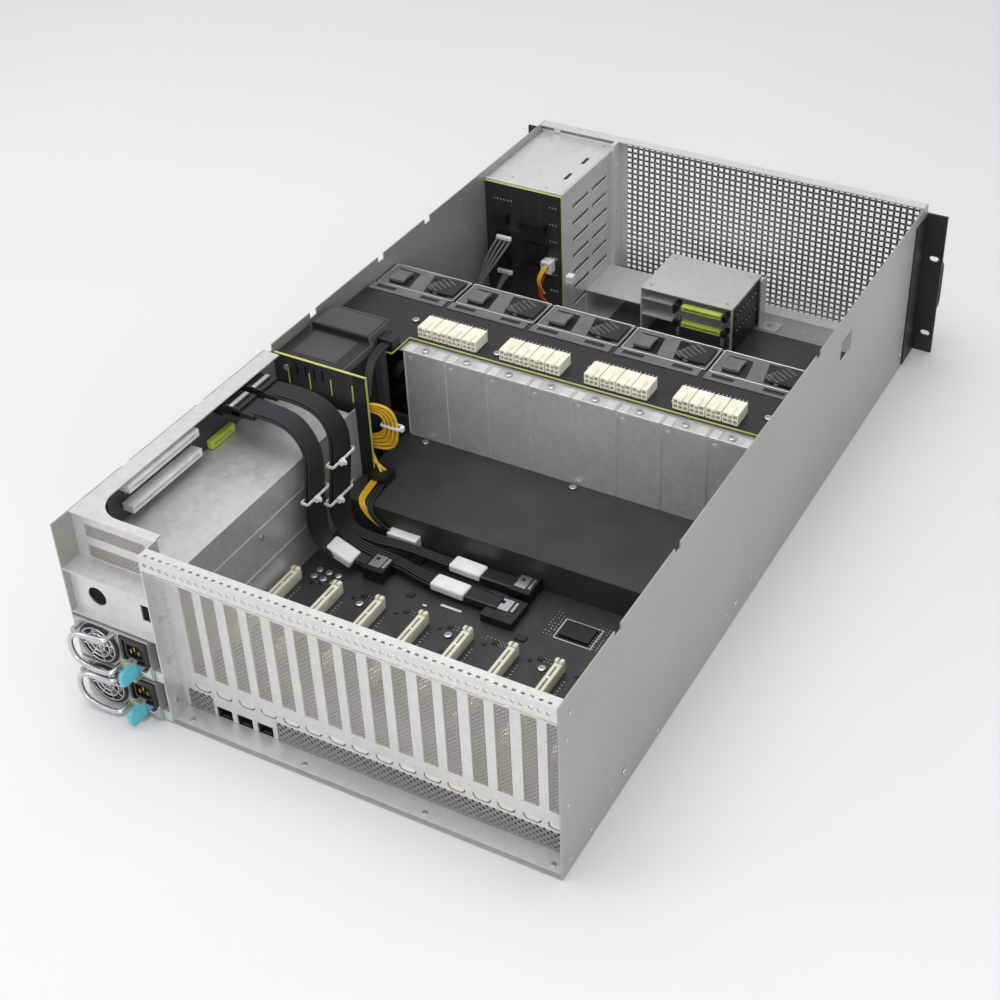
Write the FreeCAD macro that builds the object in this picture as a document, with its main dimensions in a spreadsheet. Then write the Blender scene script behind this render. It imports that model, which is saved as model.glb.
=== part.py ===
import FreeCAD, Part
import math
import os
from types import SimpleNamespace

import Sketcher
from FreeCAD import Placement, Rotation, Vector

# A 4U rack server for eight graphics cards, lid off. +Z is up and the base is at z 0.
# The front, with its grille and drive bays, is at -Y. The rear, with the card slots and
# the power supplies, is at +Y. The power supplies are on the +X side. Millimetres.

os.makedirs("parts", exist_ok=True)
doc = FreeCAD.newDocument("GpuServer")
sheet = doc.addObject("Spreadsheet::Sheet", "Sizes")

SIZES = (
    ("case_width", 440, "case without its ears"),
    ("case_height", 174.5, "four rack units"),
    ("case_depth", 800, "ear front to rear edge"),
    ("case_sheet", 1.2, "folded sheet of the case"),
    ("play", 0.3, "gap between a moving piece and its seat"),
    ("shaft_play", 0.05, "radial play of a turning piece on its pin"),
    ("lid_notch_width", 10, "notch in the top edge of a side wall"),
    ("lid_notch_depth", 6, "notch in the top edge of a side wall"),
    ("latch_cut_width", 28, "lid latch cut"),
    ("latch_cut_height", 23, "lid latch cut"),
    ("ear_width", 21.3, "ear beside the case"),
    ("ear_sheet", 3, "ear plate"),
    ("ear_low", 2, "lower end of the ears"),
    ("ear_leg", 35, "ear leg along the side wall"),
    ("ear_leg_sheet", 1.5, "ear leg along the side wall"),
    ("rack_hole_offset", 12.55, "rack slot centre from the side wall"),
    ("rack_hole_low", 24.5, "centre of the lower rack slot"),
    ("rack_hole_rise", 88.9, "upper rack slot above the lower one"),
    ("rack_slot_length", 10.3, "rack slot, along X"),
    ("rack_slot_height", 6.8, "rack slot, along Z"),
    ("handle_low", 43.4, "lower foot of the ear handle"),
    ("handle_rise", 50.2, "between the feet of the handle"),
    ("handle_reach", 30, "handle in front of the ear"),
    ("handle_radius", 4, "handle bar"),
    ("handle_inset", 1, "handle from the rack slots' line towards the case"),
    ("post_width", 4, "front post beside the drive bays"),
    ("post_depth", 21, "front post beside the drive bays"),
    ("lip_depth", 12, "folded lip over the grille"),
    ("switch_width", 8, "switch block of the power button"),
    ("switch_depth", 9, "switch block of the power button"),
    ("sill_length", 168.8, "front sill, from the far side wall"),
    ("sill_depth", 18, "front sill"),
    ("sill_height", 13, "top of the front sill"),
    ("grille_hole", 36, "hexagonal hole, across its flats"),
    ("grille_pitch", 41, "between holes of a row"),
    ("grille_edge", 7, "plain edge of the grille"),
    ("rear_shelf_depth", 12, "folded shelf of the slot panel"),
    ("window_side", 12.2, "edge of the first slot window from the supply cage"),
    ("window_low", 43, "slot window"),
    ("window_head", 13.5, "sheet over the slot windows"),
    ("window_rim", 2.75, "slot cover beyond its window, each side"),
    ("slot_margin", 10.4, "width of the slot panel that no card takes"),
    ("slot_pair_gap", 0.55, "two windows of one card are this much closer than half a card"),
    ("cover_gap", 2.5, "between slot covers"),
    ("cover_low", 27, "lower end of a slot cover"),
    ("cover_toe", 8, "narrow toe of a slot cover"),
    ("toe_inset", 1.35, "toe narrower than the window, each side"),
    ("cover_tab", 11, "folded tab of a slot cover"),
    ("jack_side", 30.5, "edge of the first network jack window from the supply cage"),
    ("jack_pitch", 19.9, "one network jack to the next"),
    ("jack_width", 15.1, "network jack window"),
    ("jack_low", 1.9, "network jack window"),
    ("jack_high", 13.4, "network jack window"),
    ("jack_depth", 21, "network jack"),
    ("jack_mouth", 14, "open depth of a network jack"),
    ("jack_wall", 0.6, "network jack"),
    ("vent_side", 96, "first vent slot of the slot panel from the supply cage"),
    ("vent_gap", 6, "between vent slots of the slot panel"),
    ("vent_edge", 5, "vent slots from the far side wall"),
    ("vent_low", 6, "vent slots of the slot panel"),
    ("vent_height", 10, "vent slots of the slot panel"),
    ("bar_height", 14, "slot retention bar"),
    ("bar_flange", 9, "top flange of the retention bar"),
    ("bay_room", 9.3, "supply bay wider than its supply"),
    ("bay_gap", 3, "supply bay higher than its supply, with its sheet"),
    ("cage_head", 0.8, "top of the supply cage above its third bay"),
    ("cage_lip", 8, "front ends of the cage's sheets behind its free side"),
    ("plug_room", 15, "supply board to the inner end of a supply"),
    ("supply_width", 73.5, "power supply"),
    ("supply_height", 40, "power supply"),
    ("supply_length", 272, "power supply"),
    ("supply_reach", 2, "supply's face behind the case's rear edge"),
    ("supply_guide", 7.3, "supply from the free side of the cage"),
    ("supply_fan_side", 22.8, "fan centre from the supply's outer side"),
    ("supply_fan_edge", 2.5, "wall over the fan cell of a supply"),
    ("supply_fan_depth", 22, "fan cell of a power supply"),
    ("supply_rotor_room", 8, "finger guard to the rotor of a supply"),
    ("supply_hub", 8, "fan hub of a power supply"),
    ("guard_wire", 0.8, "finger guard wire, radius"),
    ("guard_ring", 0.65, "ring of a finger guard, share of the fan cell's radius"),
    ("bail_reach", 12, "handle loop beyond the face"),
    ("bail_wire", 1.6, "handle loop, radius"),
    ("inlet_side", 1.2, "mains inlet from the supply's inner side"),
    ("inlet_width", 23, "mains inlet"),
    ("inlet_height", 17, "mains inlet"),
    ("inlet_depth", 17, "mains inlet"),
    ("inlet_rise", 7, "mains inlet above the supply's middle"),
    ("tab_side", 16.2, "release tab from the supply's inner side"),
    ("tab_sheet", 3, "release tab"),
    ("tab_reach", 19.5, "release tab beyond the face"),
    ("tab_high", -4, "top of the tab from the supply's middle"),
    ("tab_low", -19, "foot of the tab from the supply's middle"),
    ("tab_pin", 1.2, "pin of the release tab, radius"),
    ("tab_lug", 2, "lugs of the release tab, thickness"),
    ("tab_lug_reach", 3.6, "lugs of the release tab, pin to edge"),
    ("blank_depth", 6, "blank plate of the third bay ahead of the rear edge"),
    ("finger_cut_side", 6, "finger cut of the blank plate from the free side"),
    ("finger_cut_low", 12.8, "finger cut above the foot of the blank plate"),
    ("finger_cut_width", 8, "finger cut of the blank plate"),
    ("finger_cut_height", 16, "finger cut of the blank plate"),
    ("blank_hole_rise", 19.8, "round hole above the foot of the blank plate"),
    ("blank_hole", 8.8, "round hole of the blank plate, radius"),
    ("low_window_foot", 0.9, "lower low-profile window above the cage"),
    ("low_window_head", 0.7, "room that the two low-profile slots leave under the lid"),
    ("low_window_bar", 8.8, "sheet between the low-profile windows"),
    ("low_window_length", 60, "low-profile window"),
    ("corner_strip", 15.8, "narrow strip of the corner plate"),
    ("corner_lead", 11, "front end of the corner plate behind the supply board"),
    ("corner_band", 8.8, "rear band of the corner plate"),
    ("corner_gap", 19, "rear edge of the corner plate ahead of the case's rear edge"),
    ("corner_radius", 25, "inner corner of the corner plate"),
    ("riser_foot", 2, "riser board above the supply cage"),
    ("board_thick", 1.6, "circuit board"),
    ("slot_length", 89, "long card slot"),
    ("slot_thick", 7.5, "long card slot"),
    ("slot_height", 11.3, "long card slot"),
    ("slot_mouth", 2.2, "mouth of a card slot"),
    ("slot_groove", 8, "depth of a card slot's groove"),
    ("slot_end", 3, "wall at each end of the groove"),
    ("slot_side", 5.5, "first card slot of the GPU board from the supply cage"),
    ("riser_slot_shift", 0.5, "riser slots closer together than the windows"),
    ("riser_slot_inset", 6.5, "upper riser slot under the riser's top edge"),
    ("supply_board_thick", 2, "upright supply board"),
    ("supply_board_low", 4, "upright supply board above the floor"),
    ("supply_plug_side", 10, "supply plug from the supply's inner side"),
    ("supply_plug_width", 52, "plug that a supply slides onto"),
    ("supply_plug_height", 12, "plug that a supply slides onto"),
    ("supply_plug_depth", 9, "plug that a supply slides onto"),
    ("air_slot_pitch", 9, "air slots in the supply board"),
    ("air_slot_width", 2, "air slots in the supply board"),
    ("air_slot_height", 12, "air slots in the supply board"),
    ("air_slot_side", 30, "first air slot from the free side of the cage"),
    ("air_slot_inset", 6, "air slots under the supply board's top edge"),
    ("duct_gap", 4, "dark cover ahead of the supply board"),
    ("duct_depth", 49, "dark cover on the floor, along Y"),
    ("duct_side", 12, "dark cover from the free side of the cage"),
    ("step_depth", 34, "raised step of the dark cover, along Y"),
    ("step_inset", 4, "raised step narrower than the cover, each side"),
    ("shelf_gap", 20, "shelf of the power board ahead of the dark cover"),
    ("shelf_reach", 90, "shelf of the power board behind the fans"),
    ("power_board_gap", 2, "power board over its shelf"),
    ("power_board_thick", 2, "power board"),
    ("power_board_lead", 4, "front edge of the power board behind the fans"),
    ("power_board_depth", 69, "power board, along Y"),
    ("power_board_margin", 5.8, "power board from the far side wall"),
    ("power_tongue", 18, "tongue of the power board, width"),
    ("power_tongue_side", 3, "tongue of the power board from the supply cage"),
    ("power_tongue_depth", 30, "tongue of the power board, along Y"),
    ("outlet_side", 17.5, "first power outlet from the supply cage"),
    ("outlet_pitch", 15.4, "outlets of one group"),
    ("outlet_group_gap", 0.8, "a group of outlets is this much narrower than two cards"),
    ("outlet_width", 14.6, "power outlet"),
    ("outlet_height", 11, "power outlet"),
    ("outlet_depth", 27, "power outlet"),
    ("outlet_inset", 3, "power outlet from the board's rear edge"),
    ("outlet_way", 3.4, "square way of an outlet"),
    ("outlet_way_pitch", 4.3, "ways of an outlet"),
    ("outlet_way_depth", 12, "ways of an outlet"),
    ("blank_side", 7.8, "edge of the first closing plate from the supply cage"),
    ("blank_gap", 0.6, "between closing plates"),
    ("blank_flange", 12, "top flange of a closing plate"),
    ("deck_top", 60, "dark deck"),
    ("deck_side", 3, "dark deck from the supply cage"),
    ("deck_margin", 0.8, "dark deck from the far side wall"),
    ("gpu_board_top", 28.5, "GPU board"),
    ("gpu_board_thick", 2, "GPU board"),
    ("gpu_board_side", 2.5, "GPU board from the supply cage"),
    ("gpu_board_margin", 2.8, "GPU board from the far side wall"),
    ("main_board_low", 5, "main board"),
    ("main_board_side", 6, "main board from the supply cage"),
    ("main_board_margin", 6.8, "main board from the far side wall"),
    ("main_board_lead", 10, "front edge of the main board behind the fans"),
    ("heatsink_width", 80, "processor heatsink"),
    ("heatsink_length", 84, "processor heatsink"),
    ("heatsink_room", 6, "heatsink under the deck's top face"),
    ("heatsink_base", 6, "processor heatsink"),
    ("heatsink_fins", 11, "gaps and fins of a heatsink"),
    ("processor_share", 0.4, "one processor to the next, share of the case width"),
    ("memory_height", 31, "memory module"),
    ("memory_thick", 5, "memory module"),
    ("memory_length", 113, "memory module"),
    ("memory_lead", 26, "memory modules ahead of the heatsink"),
    ("memory_side", 7, "first memory module from the heatsink"),
    ("memory_pitch", 9.5, "memory modules"),
    ("fan_row_play", 1.6, "row of fans narrower than the case"),
    ("fan_gap", 2.9, "between two fan modules"),
    ("fan_depth", 40, "fan module"),
    ("fan_proud", 0.5, "fan module above the shelf"),
    ("fan_wall", 1, "wall between a fan's duct and half its height"),
    ("rotor_gap", 1, "blade tip to duct"),
    ("rotor_hub", 15.5, "rotor hub, radius"),
    ("rotor_inset", 6, "rotor behind the front of its module"),
    ("rotor_tail", 8, "rotor ahead of the rear of its module"),
    ("motor_thick", 4, "fan motor behind its rotor"),
    ("strut_width", 4, "struts of a fan frame"),
    ("blade_count", 5, "blades of a rotor"),
    ("blade_thick", 1.4, "blade of a rotor"),
    ("blade_root_angle", 50, "blade against the rotor's plane, root"),
    ("blade_tip_angle", 30, "blade against the rotor's plane, tip"),
    ("blade_taper", 0.3, "share of its chord that a blade loses towards the tip"),
    ("latch_pad", 12, "square latch pad on a fan module"),
    ("latch_pad_side", 22, "latch pad from the module's side"),
    ("latch_pad_high", 2, "latch pad on a fan module"),
    ("grip_side", 3, "grip from the module's side"),
    ("grip_width", 25, "grip on a fan module"),
    ("grip_depth", 27, "grip on a fan module"),
    ("grip_high", 3, "grip on a fan module"),
    ("fan_edge", 8, "edge of the cage's air windows"),
    ("drive_bays", 8, "drive bays"),
    ("drive_foot", 3, "lowest bay above the floor"),
    ("drive_head", 4, "highest bay under the cage's top"),
    ("drive_rail", 4, "rail of a drive bay"),
    ("drive_rail_thick", 1, "rail of a drive bay"),
    ("drive_rail_inset", 12, "rails behind the front of the cage"),
    ("louvre_length", 82, "slots in the cage's free side"),
    ("louvre_height", 5, "slots in the cage's free side"),
    ("louvre_inset", 24, "slots from the rear of the cage"),
    ("carrier_gap", 1.8, "between drive carriers"),
    ("bezel_inset", 0.5, "drive carrier behind the front"),
    ("bezel_depth", 9.5, "front of a drive carrier"),
    ("bezel_rim", 4, "rim of a drive carrier's front"),
    ("latch_side", 26, "latch end of a drive carrier's front"),
    ("latch_bar", 4, "latch bar of a drive carrier"),
    ("disk_room", 3.2, "carrier higher than its drive"),
    ("disk_width", 69.9, "2.5-inch drive"),
    ("disk_length", 100, "2.5-inch drive"),
    ("disk_plug", 10, "end of a drive to the drive board"),
    ("button_radius", 2.4, "power button"),
    ("button_reach", 1.8, "power button before the panel"),
    ("button_depth", 4, "power button behind the panel's face"),
    ("module_start", -55, "front bracket, far side"),
    ("module_end", 50, "front bracket"),
    ("module_high", 62, "front bracket"),
    ("module_board_low", 29, "lower board of the bracket"),
    ("module_board_rise", 19.5, "upper board of the bracket"),
    ("ledge_high", 26, "low shelf beside the drive cage"),
    ("ledge_start", 60, "low shelf beside the drive cage"),
    ("ribbon_thick", 3, "braided flat cable"),
    ("ribbon_width", 21, "braided flat cable"),
    ("ribbon_rise", 7.5, "flat cables above the GPU board"),
    ("ribbon_crest", 2, "flat cables over the supply cage, above their plugs"),
    ("ribbon_crest_side", 14, "crest of the flat cables from the free side of the cage"),
    ("ribbon_edge", 9, "where the flat cables turn down, from the free side of the cage"),
    ("ribbon_drop", 5, "flat cables there, under their plugs"),
    ("ribbon_fall", 19, "falling run of the flat cables beside the supply cage"),
    ("ribbon_fall_start", 29, "upper end of the falling run above its middle"),
    ("ribbon_fall_end", 5, "lower end of the falling run under its middle"),
    ("ribbon_bend", 22, "reach of the bend onto the GPU board, front cable"),
    ("ribbon_bend_rise", 24, "start of the bend above the level run"),
    ("ribbon_bend_end", 4, "end of the bend above the level run"),
    ("ribbon_level", 60, "start of the front cable's level run, from its falling run"),
    ("ribbon_rear_bend", 12, "reach of the bend onto the GPU board, rear cable"),
    ("ribbon_front_reach", 186, "end of the front flat cable from the free side of the cage"),
    ("ribbon_rear_reach", 60, "end of the rear flat cable from the free side of the cage"),
    ("plug_height", 13, "cable plug on a board"),
    ("plug_depth", 20, "cable plug on a board"),
    ("plug_rim", 2, "cable plug beyond its cable, each side"),
    ("riser_plug", 10, "cable plug on the riser"),
    ("header_start", 144, "slim plug header from the GPU board's far edge"),
    ("header_size", 30, "slim plug header"),
    ("header_height", 8, "slim plug header"),
    ("chip_start", 79, "switch chip from the GPU board's far edge"),
    ("chip_width", 28, "switch chip"),
    ("chip_depth", 19, "switch chip"),
    ("chip_height", 3, "switch chip"),
    ("lead_plug", 9, "plug of the power leads on the tongue"),
    ("lead_plug_width", 16, "plug of the power leads on the tongue"),
    ("lead_plug_depth", 12, "plug of the power leads on the tongue"),
    ("lead_socket", 18, "socket of the power leads on the deck"),
    ("lead_socket_side", 14, "socket of the power leads from the supply cage"),
    ("lead_socket_height", 10, "socket of the power leads on the deck"),
    ("lead_radius", 5, "power lead bundle"),
    ("lead_inset", 3, "power leads from the end of the tongue"),
    ("lead_place", 1, "power leads on the deck behind the supply board"),
    ("lead_run", 26, "level run of the power leads"),
    ("lead_turn", 24, "turn of the power leads under their level run"),
    ("lead_turn_side", 8, "turn of the power leads beside their fall"),
    ("lead_turn_front", 12, "turn of the power leads ahead of their fall"),
    ("lead_fall", 60, "start of the power leads' fall under their level run"),
    ("drive_plug_row", 3.5, "lowest plugs behind the drives, bays above the lowest bay's foot"),
    ("drive_plug_step", 1.3, "rows of plugs behind the drives, in bays"),
    ("wide_plug_side", 17, "wide plug behind the drives from the free side of the cage"),
    ("wide_plug_width", 30, "wide plug behind the drives"),
    ("wide_plug_height", 8.8, "wide plug behind the drives"),
    ("tall_plug_side", 62, "tall plug behind the drives from the free side of the cage"),
    ("tall_plug_width", 16, "tall plug behind the drives"),
    ("tall_plug_height", 11.7, "tall plug behind the drives"),
    ("post_radius", 3, "board standoff"),
)

FROM_REAR_EDGE = (
    ("rear_panel_place", 21, "outer face of the slot panel"),
    ("riser_front", 260, "riser board"),
    ("riser_rear", 55, "riser board"),
    ("slot_front", 164.5, "card slots of the GPU board, front end"),
    ("riser_slot_front", 159, "card slots of the riser, front end"),
    ("deck_rear", 249, "dark deck"),
    ("gpu_board_front", 260, "GPU board"),
    ("gpu_board_rear", 28, "GPU board"),
    ("heatsink_front", 350, "processor heatsinks"),
    ("ribbon_front", 247, "front flat cable"),
    ("ribbon_rear", 215, "rear flat cable"),
    ("chip_front", 222, "switch chip on the GPU board"),
    ("header_front", 220, "slim plug header on the GPU board"),
)

FROM_FRONT_FACE = (
    ("latch_cut_place", 233, "lid latch cut, centre along Y"),
    ("drive_rear", 135, "rear of the drive cage"),
    ("module_front", 25, "front bracket"),
    ("module_rear", 106, "front bracket"),
    ("ledge_rear", 83, "low shelf beside the drive cage"),
)

FROM_LID = (
    ("latch_cut_top", 23.3, "lid latch cut, top edge"),
    ("ear_high", 9.8, "upper end of the ears"),
    ("rear_panel_high", 25.3, "top of the slot panel"),
    ("riser_high", 1.8, "riser board"),
    ("backplane_high", 6.3, "upright supply board"),
    ("duct_high", 8.3, "dark cover before the supplies"),
    ("step_high", 3.3, "raised step of the dark cover"),
    ("shelf_top", 21.3, "shelf that carries the power board"),
    ("drive_high", 8.3, "top of the drive cage"),
    ("button_high", 4.1, "power button, height"),
    ("ribbon_high", 8.3, "flat cables at the riser"),
)

FROM_SUPPLY_SIDE_WALL = (
    ("low_window_end", 10.8, "low-profile window, outer end"),
    ("riser_face", 4.8, "inner face of the riser board"),
    ("duct_end", 1.8, "dark cover before the supplies"),
    ("power_board_end", 1.8, "power board, supply side"),
    ("drive_side", 90.8, "free side of the drive cage"),
    ("button_place", 18.8, "power button, along X"),
)


class Size:
    """A length known both as a number and as a formula over the sheet's cells."""

    def __init__(self, value, text):
        self.value = float(value)
        self.text = text

    def __add__(self, other):
        return Size(self.value + number(other), f"({self.text} + {formula(other)})")

    def __sub__(self, other):
        return Size(self.value - number(other), f"({self.text} - {formula(other)})")

    def __mul__(self, other):
        return Size(self.value * number(other), f"({self.text} * {formula(other)})")

    def __truediv__(self, other):
        return Size(self.value / number(other), f"({self.text} / {formula(other)})")

    def __radd__(self, other):
        return Size(number(other) + self.value, f"({formula(other)} + {self.text})")

    def __rsub__(self, other):
        return Size(number(other) - self.value, f"({formula(other)} - {self.text})")

    def __rmul__(self, other):
        return Size(number(other) * self.value, f"({formula(other)} * {self.text})")

    def __neg__(self):
        return Size(-self.value, f"(0 - {self.text})")


def number(size):
    """The plain number of a size."""
    return size.value if isinstance(size, Size) else float(size)


def formula(size):
    """The sheet formula of a size."""
    return size.text if isinstance(size, Size) else repr(size)


def smaller(first, second):
    """The smaller of two sizes, such as the side of a cell that a round duct has to fit."""
    return Size(min(first.value, second.value), f"min({first.text}; {second.text})")


def read_sheet():
    """Fill the sheet. Hand back a Size for each alias, with each group's places measured from its datum."""
    groups = (SIZES, FROM_REAR_EDGE, FROM_FRONT_FACE, FROM_LID, FROM_SUPPLY_SIDE_WALL)
    rows = [row for group in groups for row in group]
    for line, (alias, value, meaning) in enumerate(rows, start=1):
        sheet.set(f"A{line}", meaning)
        sheet.set(f"B{line}", str(value))
        sheet.setAlias(f"B{line}", alias)
    doc.recompute()
    cells = SimpleNamespace(**{alias: Size(sheet.get(alias), f"Sizes.{alias}") for alias, _, _ in rows})
    cells.rear = cells.case_depth / 2
    cells.face = cells.ear_sheet - cells.rear
    cells.lid = cells.case_height - cells.case_sheet
    cells.inner = cells.case_width / 2 - cells.case_sheet
    datums = (cells.rear, cells.face, cells.lid, cells.inner)
    for group, datum in zip(groups[1:], datums):
        for alias, _, _ in group:
            distance = getattr(cells, alias)
            setattr(cells, alias, datum + distance if datum is cells.face else datum - distance)
    return cells


S = read_sheet()
NODES = []

HALF = S.case_width / 2
INNER = S.inner
REAR = S.rear
FRONT = -REAR
FACE = S.face
FLOOR = S.case_sheet
LID = S.lid
BOARD_TOP = S.gpu_board_top

# Power supplies, their bays and what stands round them
SUPPLY_FACE = REAR + S.supply_reach
SUPPLY_FRONT = SUPPLY_FACE - S.supply_length
SUPPLY_FAN = S.supply_height / 2 - S.supply_fan_edge
CAGE_SIDE = INNER - S.supply_width - S.bay_room
CAGE_FRONT = SUPPLY_FRONT - S.plug_room
BAY_PITCH = S.supply_height + S.bay_gap
CAGE_TOP = FLOOR + 3 * BAY_PITCH + S.cage_head
SUPPLY_SIDE = CAGE_SIDE + S.supply_guide
SUPPLY_FAN_PLACE = SUPPLY_SIDE + S.supply_width - S.supply_fan_side
TAB_PLACE = SUPPLY_SIDE + S.tab_side
DUCT_REAR = CAGE_FRONT - S.duct_gap
DUCT_FRONT = DUCT_REAR - S.duct_depth
SLOT_WALL_END = CAGE_SIDE - S.case_sheet

# Card slots
SLOT_PITCH = (SLOT_WALL_END + INNER - S.slot_margin) / 8
PAIR_PITCH = SLOT_PITCH / 2 - S.slot_pair_gap
COVER_WIDTH = PAIR_PITCH - S.cover_gap
WINDOW_WIDTH = COVER_WIDTH - 2 * S.window_rim
TOE_WIDTH = WINDOW_WIDTH - 2 * S.toe_inset

# Low-profile slots between the supply cage and the lid
LOW_WINDOW_RISE = (LID - CAGE_TOP - S.low_window_head) / 2
LOW_WINDOW_HEIGHT = LOW_WINDOW_RISE - S.low_window_bar

# Fans
FAN_HIGH = S.shelf_top + S.fan_proud
FAN_LOW = FLOOR + S.play
FAN_PITCH = (2 * INNER - S.fan_row_play) / 5
FAN_WIDTH = FAN_PITCH - S.fan_gap
FAN_RISE = (FAN_HIGH - FAN_LOW - S.fan_wall) / 2
FAN_FIRST = FAN_LOW + (FAN_RISE + S.fan_wall) / 2
FAN_BORE = smaller(FAN_RISE, FAN_WIDTH) / 2 - S.fan_wall
SHELF_REAR = DUCT_FRONT - S.shelf_gap
FAN_REAR = SHELF_REAR - S.shelf_reach
FAN_FRONT = FAN_REAR - S.fan_depth
ROTOR_FRONT = FAN_FRONT + S.rotor_inset
ROTOR_REAR = FAN_REAR - S.rotor_tail

# Power board
POWER_LOW = S.shelf_top + S.power_board_gap
POWER_HIGH = POWER_LOW + S.power_board_thick
POWER_FRONT = FAN_REAR + S.power_board_lead
POWER_REAR = POWER_FRONT + S.power_board_depth

# Inner ends of the flat cables
RIBBON_FRONT_END = CAGE_SIDE - S.ribbon_front_reach
RIBBON_REAR_END = CAGE_SIDE - S.ribbon_rear_reach

# Lid notches of the two side walls, as shares of the case's depth from its rear edge
SUPPLY_SIDE_NOTCHES = (0.11, 0.23, 0.35, 0.436, 0.578, 0.684)
FAR_SIDE_NOTCHES = (0.113, 0.24, 0.61)

# Standoffs, as shares of a board's width and depth
POWER_POSTS = (0.02, 0.2, 0.4, 0.6, 0.83)
GPU_POSTS = ((0.05, 0.54, 0.96), (0.36, 0.92))
MAIN_POSTS = ((0.04, 0.54, 0.97), (0.1, 0.8))
RISER_POSTS = (0.1, 0.9)

# Drive bays
DRIVE_PITCH = (S.drive_high - FLOOR - S.drive_foot - S.drive_head) / S.drive_bays
CARRIER_HEIGHT = DRIVE_PITCH - S.carrier_gap

TURN = {"x": Rotation(Vector(0, 1, 0), 90), "y": Rotation(Vector(1, 0, 0), -90), "z": Rotation()}
SIDES = (-1, 1)


def bind(item, name, size):
    """Tie one property to the sheet."""
    item.setExpression(name, formula(size))


def box(x, y, z):
    """A block between two places along each axis."""
    block = doc.addObject("Part::Box", "Block")
    for length, axis, (low, high) in zip(("Length", "Width", "Height"), "xyz", (x, y, z)):
        bind(block, length, high - low)
        bind(block, f"Placement.Base.{axis}", low)
    return block


def rod(axis, centre, radius, span):
    """A cylinder along an axis. centre holds the two other places, in the order x, y, z."""
    item = doc.addObject("Part::Cylinder", "Rod")
    item.Placement = Placement(Vector(), TURN[axis])
    bind(item, "Radius", radius)
    bind(item, "Height", span[1] - span[0])
    others = [letter for letter in "xyz" if letter != axis]
    bind(item, f"Placement.Base.{axis}", span[0])
    for letter, place in zip(others, centre):
        bind(item, f"Placement.Base.{letter}", place)
    return item


def prism(centre, radius, span, sides):
    """A many-sided prism along Y whose flats touch a circle of the given radius."""
    item = doc.addObject("Part::Prism", "Prism")
    item.Placement = Placement(Vector(), TURN["y"])
    item.Polygon = sides
    bind(item, "Circumradius", radius / math.cos(math.pi / sides))
    bind(item, "Height", span[1] - span[0])
    for letter, place in zip("xyz", (centre[0], span[0], centre[1])):
        bind(item, f"Placement.Base.{letter}", place)
    return item


def group(items):
    """Solids that stay apart, kept in one shape."""
    item = doc.addObject("Part::Compound", "Group")
    item.Links = items
    return item


def join(items):
    """Solids made into one."""
    item = doc.addObject("Part::MultiFuse", "Join")
    item.Shapes = items
    item.Refine = True
    return item


def cut(base, tools):
    """A solid less its tools."""
    item = doc.addObject("Part::Cut", "Cut")
    item.Base = base
    item.Tool = tools[0] if len(tools) == 1 else group(tools)
    return item


def plane_of(body, plane):
    """One of the three origin planes of a body."""
    return next(item for item in body.Origin.OriginFeatures if item.Role == f"{plane}_Plane")


def sketch_outline(body, plane, corners, offset):
    """A closed outline on an origin plane, each corner held by two bound distances."""
    sketch = body.newObject("Sketcher::SketchObject", "Outline")
    sketch.AttachmentSupport = (plane_of(body, plane), [""])
    sketch.MapMode = "FlatFace"
    bind(sketch, "AttachmentOffset.Base.z", offset)
    points = [Vector(number(across), number(up), 0) for across, up in corners]
    for place, point in enumerate(points):
        following = points[(place + 1) % len(points)]
        sketch.addGeometry(Part.LineSegment(point, following))
    for place in range(len(points)):
        following = (place + 1) % len(points)
        sketch.addConstraint(Sketcher.Constraint("Coincident", place, 2, following, 1))
    for place, corner in enumerate(corners):
        for kind, size in zip(("DistanceX", "DistanceY"), corner):
            held = Sketcher.Constraint(kind, -1, 1, place, 1, number(size))
            index = sketch.addConstraint(held)
            if isinstance(size, Size):
                bind(sketch, f"Constraints[{index}]", size)
    return sketch


def plate(plane, corners, span):
    """A body padded from an outline on an origin plane, between two places along the third axis."""
    body = doc.addObject("PartDesign::Body", "Plate")
    offset = -span[1] if plane == "XZ" else span[0]
    sketch = sketch_outline(body, plane, corners, offset)
    pad = body.newObject("PartDesign::Pad", "Pad")
    pad.Profile = sketch
    bind(pad, "Length", span[1] - span[0])
    sketch.Visibility = False
    body.Tip = pad
    return body


def post(x, y, radius, span, sides):
    """An upright many-sided post whose flats touch a circle of the given radius."""
    reach = radius / math.cos(math.pi / sides)
    angles = [math.tau * side / sides for side in range(sides)]
    return plate("XY", [(x + reach * math.cos(a), y + reach * math.sin(a)) for a in angles], span)


def feature(shape):
    """A shape made straight from the sheet's numbers."""
    item = doc.addObject("Part::Feature", "Form")
    item.Shape = shape
    return item


def rounded_route(points, share):
    """A route with each corner eased by short runs. share sets their reach from the shorter run."""
    steps = 3
    eased = [points[0]]
    for before, corner, after in zip(points, points[1:], points[2:]):
        back, ahead = before - corner, after - corner
        setback = share * min(back.Length, ahead.Length)
        start = corner + back * (setback / back.Length)
        end = corner + ahead * (setback / ahead.Length)
        for step in range(steps + 1):
            gone = step / steps
            left = 1 - gone
            eased.append(start * left ** 2 + corner * (2 * gone * left) + end * gone ** 2)
    return eased + [points[-1]]


def skinned(rings, loops):
    """Solid through a row of rings. loops lists the faces between a corner and the next on two rings."""
    faces = [Part.Face(Part.makePolygon(ring + ring[:1])) for ring in (rings[0], rings[-1])]
    for inner, outer in zip(rings, rings[1:]):
        for here in range(len(inner)):
            following = (here + 1) % len(inner)
            corners = (inner[here], inner[following], outer[following], outer[here])
            for loop in loops:
                faces.append(Part.Face(Part.makePolygon([corners[place] for place in loop])))
    solid = Part.Solid(Part.Shell(faces))
    return solid if solid.Volume > 0 else solid.reversed()


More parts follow.
